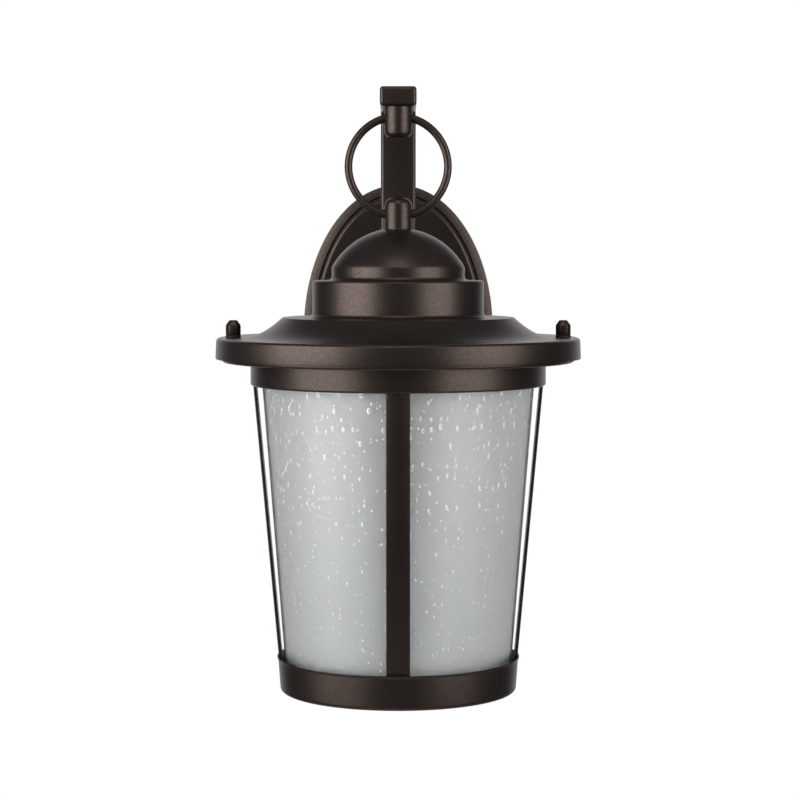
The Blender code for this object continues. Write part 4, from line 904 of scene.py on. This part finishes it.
def seeded_glass():
    """Clear glass with seeds. Each seed's outline is a painted highlight, white and faintly
    glowing, and its middle is painted shade, shifted right so the outline is brightest on its left.
    """
    made, shader, start = new_material("clear seeded glass")
    place = surface_place(start)
    around, height, out = unrolled(place)
    rise = (height - glass_low.z) * (1.0 / (glass_high.z - glass_low.z))
    side = around.maths("ABSOLUTE", around).step(SIDE_FADE_START, SIDE_FADE_END)
    past_face = out - rise * (glass_head - GLASS_FOOT_RADIUS) - GLASS_FOOT_RADIUS
    outside = past_face.step(-0.6 * GLASS_WALL, -0.4 * GLASS_WALL)
    crowd = SEEDS_EVERYWHERE + SEEDS_AT_TOP * rise.step(0.35, 0.95)
    crowd = crowd + SEEDS_AT_FOOT * (0.2 - rise).step(0.0, 0.15)
    crowd = crowd * (1.0 - SIDE_THINNING * side) * outside
    share = crowd * SEED_SHARE
    size = (0.5 + 0.5 * rise.step(0.1, 0.95)) * SEED_SIZE
    large = seeds(around, height, SEED_CELL, SEED_LENGTH, share, size)
    middle = seeds(around - SEED_PAINTED_SHADE_SHIFT, height, SEED_CELL, SEED_LENGTH, share, size)
    share = crowd * PINHEAD_SHARE
    moved = around + PINHEAD_SHIFT
    small = seeds(moved, height, PINHEAD_CELL, PINHEAD_LENGTH, share, PINHEAD_SIZE)
    # Painted highlight: a white ring round each seed, darker where its shifted middle is painted
    # shade, and a white dot on each pinhead.
    ring = large.step(0.0, 0.2) * (1.0 - 0.85 * middle.step(0.35, 0.6))
    outline = ring.larger(small.step(0.0, 0.2))
    bubble = large.larger(small)
    wave = noise(place, 30.0, 1.0)
    clear, white = (0.985, 0.992, 0.992, 1.0), (1.0, 1.0, 1.0, 1.0)
    feed(shader, "Base Color", place.blend(outline, clear, white))
    feed(shader, "Roughness", 0.27 + 0.03 * wave)
    feed(shader, "Normal", relief(bubble, 0.03 * MM))
    shader.inputs["IOR"].default_value = 1.5
    shader.inputs["Specular IOR Level"].default_value = 0.25
    shader.inputs["Transmission Weight"].default_value = 1.0
    # The painted highlight's own shader: white and faintly glowing, mixed in over the glass on each
    # seed's outline.
    inputs = {"Base Color": (0.95, 0.96, 0.96, 1.0), "Roughness": 0.3}
    inputs |= {"Emission Color": white, "Emission Strength": PAINTED_GLINT_GLOW}
    inputs |= {"Normal": relief(bubble, 0.25 * MM)}
    painted_glint = start.node("ShaderNodeBsdfPrincipled", {}, inputs)
    glass = Pattern(made.node_tree, shader.outputs[0])
    mixed = start.node("ShaderNodeMixShader", {}, {0: outline, 1: glass, 2: painted_glint})
    feed(made.node_tree.nodes["Material Output"], "Surface", mixed)
    return made


outline = tube_outline(
    GLASS_FOOT_RADIUS, glass_head, glass_low.z, glass_high.z, GLASS_WALL, GLASS_FIRE_EDGE
)
outer_glass = turn(outline, GLASS_SIDES, filled=False)
finish_piece(outer_glass, "seeded_glass", seeded_glass(), "lantern", "seeded_glass", "outer_glass")


# ---- Glass liner ----
# A second tapered tube of etched, frosted glass stands inside the clear one and hides the bulb. A
# rubber gasket lies over the top of both.

LINER_WALL = 1.8 * MM
LINER_FOOT_RADIUS = 57.8 * MM
LINER_EDGE = 0.5 * MM
low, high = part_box("glass_liner")


def etched_glass():
    """White etched glass: cloudy white, with a fine grain, faint upright streaks from drawing, and
    painted shade that greys it towards its foot.
    """
    made, shader, start = new_material("etched glass")
    place = surface_place(start)
    around, height, _ = unrolled(place)
    streak_place = around.node("ShaderNodeCombineXYZ", {}, {0: around, 1: height * 0.03, 2: 0.0})
    streaks = noise(streak_place, 55.0, 2.0)
    grain = noise(place, 900.0, 2.0)
    # Painted shade: the liner is drawn greyer towards its foot and lighter towards its top, with
    # the streaks mixed in.
    upper = (height - low.z) * (1.0 / (high.z - low.z))
    streaks_and_foot_shade = 0.3 * streaks.step(0.3, 0.7) + 0.7 * upper
    dim, bright = (0.655, 0.675, 0.682, 1.0), (0.775, 0.79, 0.785, 1.0)
    feed(shader, "Base Color", place.blend(streaks_and_foot_shade, dim, bright))
    feed(shader, "Roughness", 0.45 + 0.12 * grain)
    feed(shader, "Normal", relief(grain, 0.03 * MM))
    shader.inputs["IOR"].default_value = 1.45
    shader.inputs["Transmission Weight"].default_value = 0.35
    return made


head = (high.x - low.x) / 2
outline = tube_outline(LINER_FOOT_RADIUS, head, low.z, high.z, LINER_WALL, LINER_EDGE)
liner = turn(outline, GLASS_SIDES, filled=False)
finish_piece(liner, "frosted_liner", etched_glass(), "lantern", "frosted_glass", "glass_liner")
dress(rubber, "glass_gasket")


# ---- Lampholder ----
# A pressed steel cap on the threaded tube, a glazed porcelain holder under it, and in that a brass
# screw shell with a centre contact.


def porcelain():
    """White glazed porcelain: a hard gloss, slightly wavy, with a few grey specks."""
    made, shader, start = new_material("glazed porcelain")
    place = surface_place(start)
    specks = noise(place, 700.0, 2.0).step(0.68, 0.75)
    wave = noise(place, 60.0, 2.0)
    glaze, speck = (0.84, 0.83, 0.79, 1.0), (0.5, 0.47, 0.42, 1.0)
    feed(shader, "Base Color", place.blend(specks * 0.4, glaze, speck))
    feed(shader, "Roughness", 0.12 + 0.1 * wave)
    feed(shader, "Normal", relief(wave, 0.1 * MM, 0.6))
    shader.inputs["Coat Weight"].default_value = 0.4
    return made


brass = plated_steel("pressed brass", (0.78, 0.56, 0.24))
dress(zinc, "lampholder_cap")
dress(porcelain(), "lampholder")
dress(brass, "screw_shell", "centre_contact")


# ---- Bulb ----
# A plain white bulb with a pressed aluminium screw cap. The glass is blown thin, coated inside and
# cemented into the cap.


def coated_glass():
    """Thin glass with a white powder coat inside."""
    made, shader, start = new_material("white coated bulb glass")
    place = surface_place(start)
    powder = noise(place, 400.0, 3.0)
    thin, thick = (0.86, 0.86, 0.84, 1.0), (0.92, 0.92, 0.90, 1.0)
    feed(shader, "Base Color", place.blend(powder.step(0.3, 0.7), thin, thick))
    feed(shader, "Roughness", 0.16 + 0.08 * powder)
    feed(shader, "Normal", relief(powder, 0.01 * MM))
    shader.inputs["Transmission Weight"].default_value = 0.25
    shader.inputs["Coat Weight"].default_value = 0.5
    return made


BULB_SIDES = 96
BULB_WALL = 0.8 * MM
BULB_NECK = 13.6 * MM
BULB_NECK_EDGE = 1.0 * MM
BULB_NECK_CURVE = ((0.0, 4.0 * MM), (0.6 * MM, 14.0 * MM), (3.0 * MM, 24.0 * MM))
low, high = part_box("bulb_glass")
BULB_RADIUS = (high.x - low.x) / 2
bulb_middle = low.z + BULB_RADIUS
neck = [(BULB_NECK - BULB_NECK_EDGE, high.z)]
neck += [(BULB_NECK + wider, high.z - down) for wider, down in BULB_NECK_CURVE]
outline = neck + corner((0.0, bulb_middle), BULB_RADIUS, 45, -85, 24)
outline += corner((0.0, bulb_middle), BULB_RADIUS - BULB_WALL, -85, 45, 24)
outline += [(radius - BULB_WALL, height) for radius, height in reversed(neck)]
outline += neck[:1]
bulb = turn(outline, BULB_SIDES, filled=False)
finish_piece(bulb, "bulb_globe", coated_glass(), "bulb", "bulb_glass", "bulb_glass")
aluminium = plated_steel("pressed aluminium", (0.72, 0.72, 0.70))
dress(aluminium, "bulb_cap")


# ---- Leads, wire nuts and grommets ----
# Stranded leads in black, white and green plastic run from the lampholder to the collar, and from
# the canopy's grommet to two screw-on wire nuts and the ground screw.


def plastic(name, colour, level):
    """Moulded or extruded plastic: one colour, slightly cloudy, with a soft sheen."""
    made, shader, start = new_material(name)
    place = surface_place(start)
    cloud = noise(place, 240.0, 3.0)
    dull = tuple(0.75 * value for value in colour)
    feed(shader, "Base Color", place.blend(cloud.step(0.3, 0.7), (*dull, 1.0), (*colour, 1.0)))
    feed(shader, "Roughness", level + 0.15 * cloud)
    feed(shader, "Normal", relief(cloud, 0.03 * MM))
    return made


LEAD_COLOURS = {
    "black": (0.02, 0.02, 0.02),
    "white": (0.75, 0.75, 0.73),
    "green": (0.02, 0.26, 0.06),
}
for word, colour in LEAD_COLOURS.items():
    dress(plastic(f"{word} lead", colour, 0.35), f"lamp_lead_{word}", f"supply_lead_{word}")
dress(plastic("orange plastic", (0.6, 0.17, 0.02), 0.4), "wire_nut_black")
dress(plastic("yellow plastic", (0.72, 0.55, 0.04), 0.4), "wire_nut_white")
dress(rubber, "canopy_grommet", "collar_grommet")


# ---- Floor and light ----
# A plain pale floor far below the hanging lantern, a tall soft light to each side and a weak one
# above and in front. The room is white behind the lantern. To shiny surfaces it is dim in front,
# and a little brighter overhead.

FLOOR_HEIGHT = -1.6
FLOOR_SIZE = 3.0
BACKGROUND = 1.0
ROOM_LIGHT = 0.27
FRONT_ROOM = 0.065
CEILING = 0.09
SIDE_LIGHT_DISTANCE = 1.25
SIDE_LIGHT_HEIGHT = 0.15
SIDE_LIGHTS = (("left", -58.5, (1.2, 1.3), 14.2), ("right", 54.5, (1.0, 1.3), 8.6))
TOP_LIGHT_PLACE = (0.0, AXIS_Y - 0.9, 1.3)
TOP_LIGHT_SIZE = (0.8, 0.8)
TOP_LIGHT_POWER = 2.6


def soft_light(name, place, size, power):
    """A rectangular soft light that faces the middle of the lantern."""
    aim = Vector((0.0, AXIS_Y, 0.0))
    turn_to = (aim - Vector(place)).to_track_quat("-Z", "Y").to_euler()
    bpy.ops.object.light_add(type="AREA", location=place, rotation=turn_to)
    light = bpy.context.object
    light.name = name
    light.data.shape = "RECTANGLE"
    light.data.size, light.data.size_y = size
    light.data.energy = power


for word, angle, size, power in SIDE_LIGHTS:
    x = SIDE_LIGHT_DISTANCE * sin(radians(angle))
    y = AXIS_Y - SIDE_LIGHT_DISTANCE * cos(radians(angle))
    soft_light(f"{word} light", (x, y, SIDE_LIGHT_HEIGHT), size, power)
soft_light("top light", TOP_LIGHT_PLACE, TOP_LIGHT_SIZE, TOP_LIGHT_POWER)

deselect()
bpy.ops.mesh.primitive_plane_add(size=FLOOR_SIZE, location=(0.0, 0.0, FLOOR_HEIGHT))
floor = bpy.context.object
floor.name = "floor"
pale, shader, start = new_material("pale floor")
mottle = noise(surface_place(start), 3.0, 2.0)
feed(shader, "Base Color", mottle.blend(mottle, (0.86, 0.86, 0.85, 1.0), (0.9, 0.9, 0.89, 1.0)))
shader.inputs["Roughness"].default_value = 0.8
floor.data.materials.append(pale)

world = bpy.data.worlds.new("pale room")
bpy.context.scene.world = world
world.use_nodes = True
room = Pattern(world.node_tree)
straight, through, glossy = (
    room.node("ShaderNodeLightPath", {}, {}, output=f"Is {kind} Ray")
    for kind in ("Camera", "Transmission", "Glossy")
)
seen = straight.larger(through)
direction = room.node("ShaderNodeTexCoord", {}, {}, output="Generated")
behind = direction.part("Y").step(0.72, 0.98)
above = direction.part("Z").step(0.2, 1.0)
room_seen = FRONT_ROOM + CEILING * above
reflected = room_seen + (BACKGROUND - room_seen) * behind
lit = ROOM_LIGHT + (reflected - ROOM_LIGHT) * glossy
strength = lit + (BACKGROUND - lit) * seen
background = world.node_tree.nodes["Background"]
feed(background, "Strength", strength)
background.inputs["Color"].default_value = (1.0, 1.0, 1.0, 1.0)
bpy.context.scene.view_settings.view_transform = "Standard"
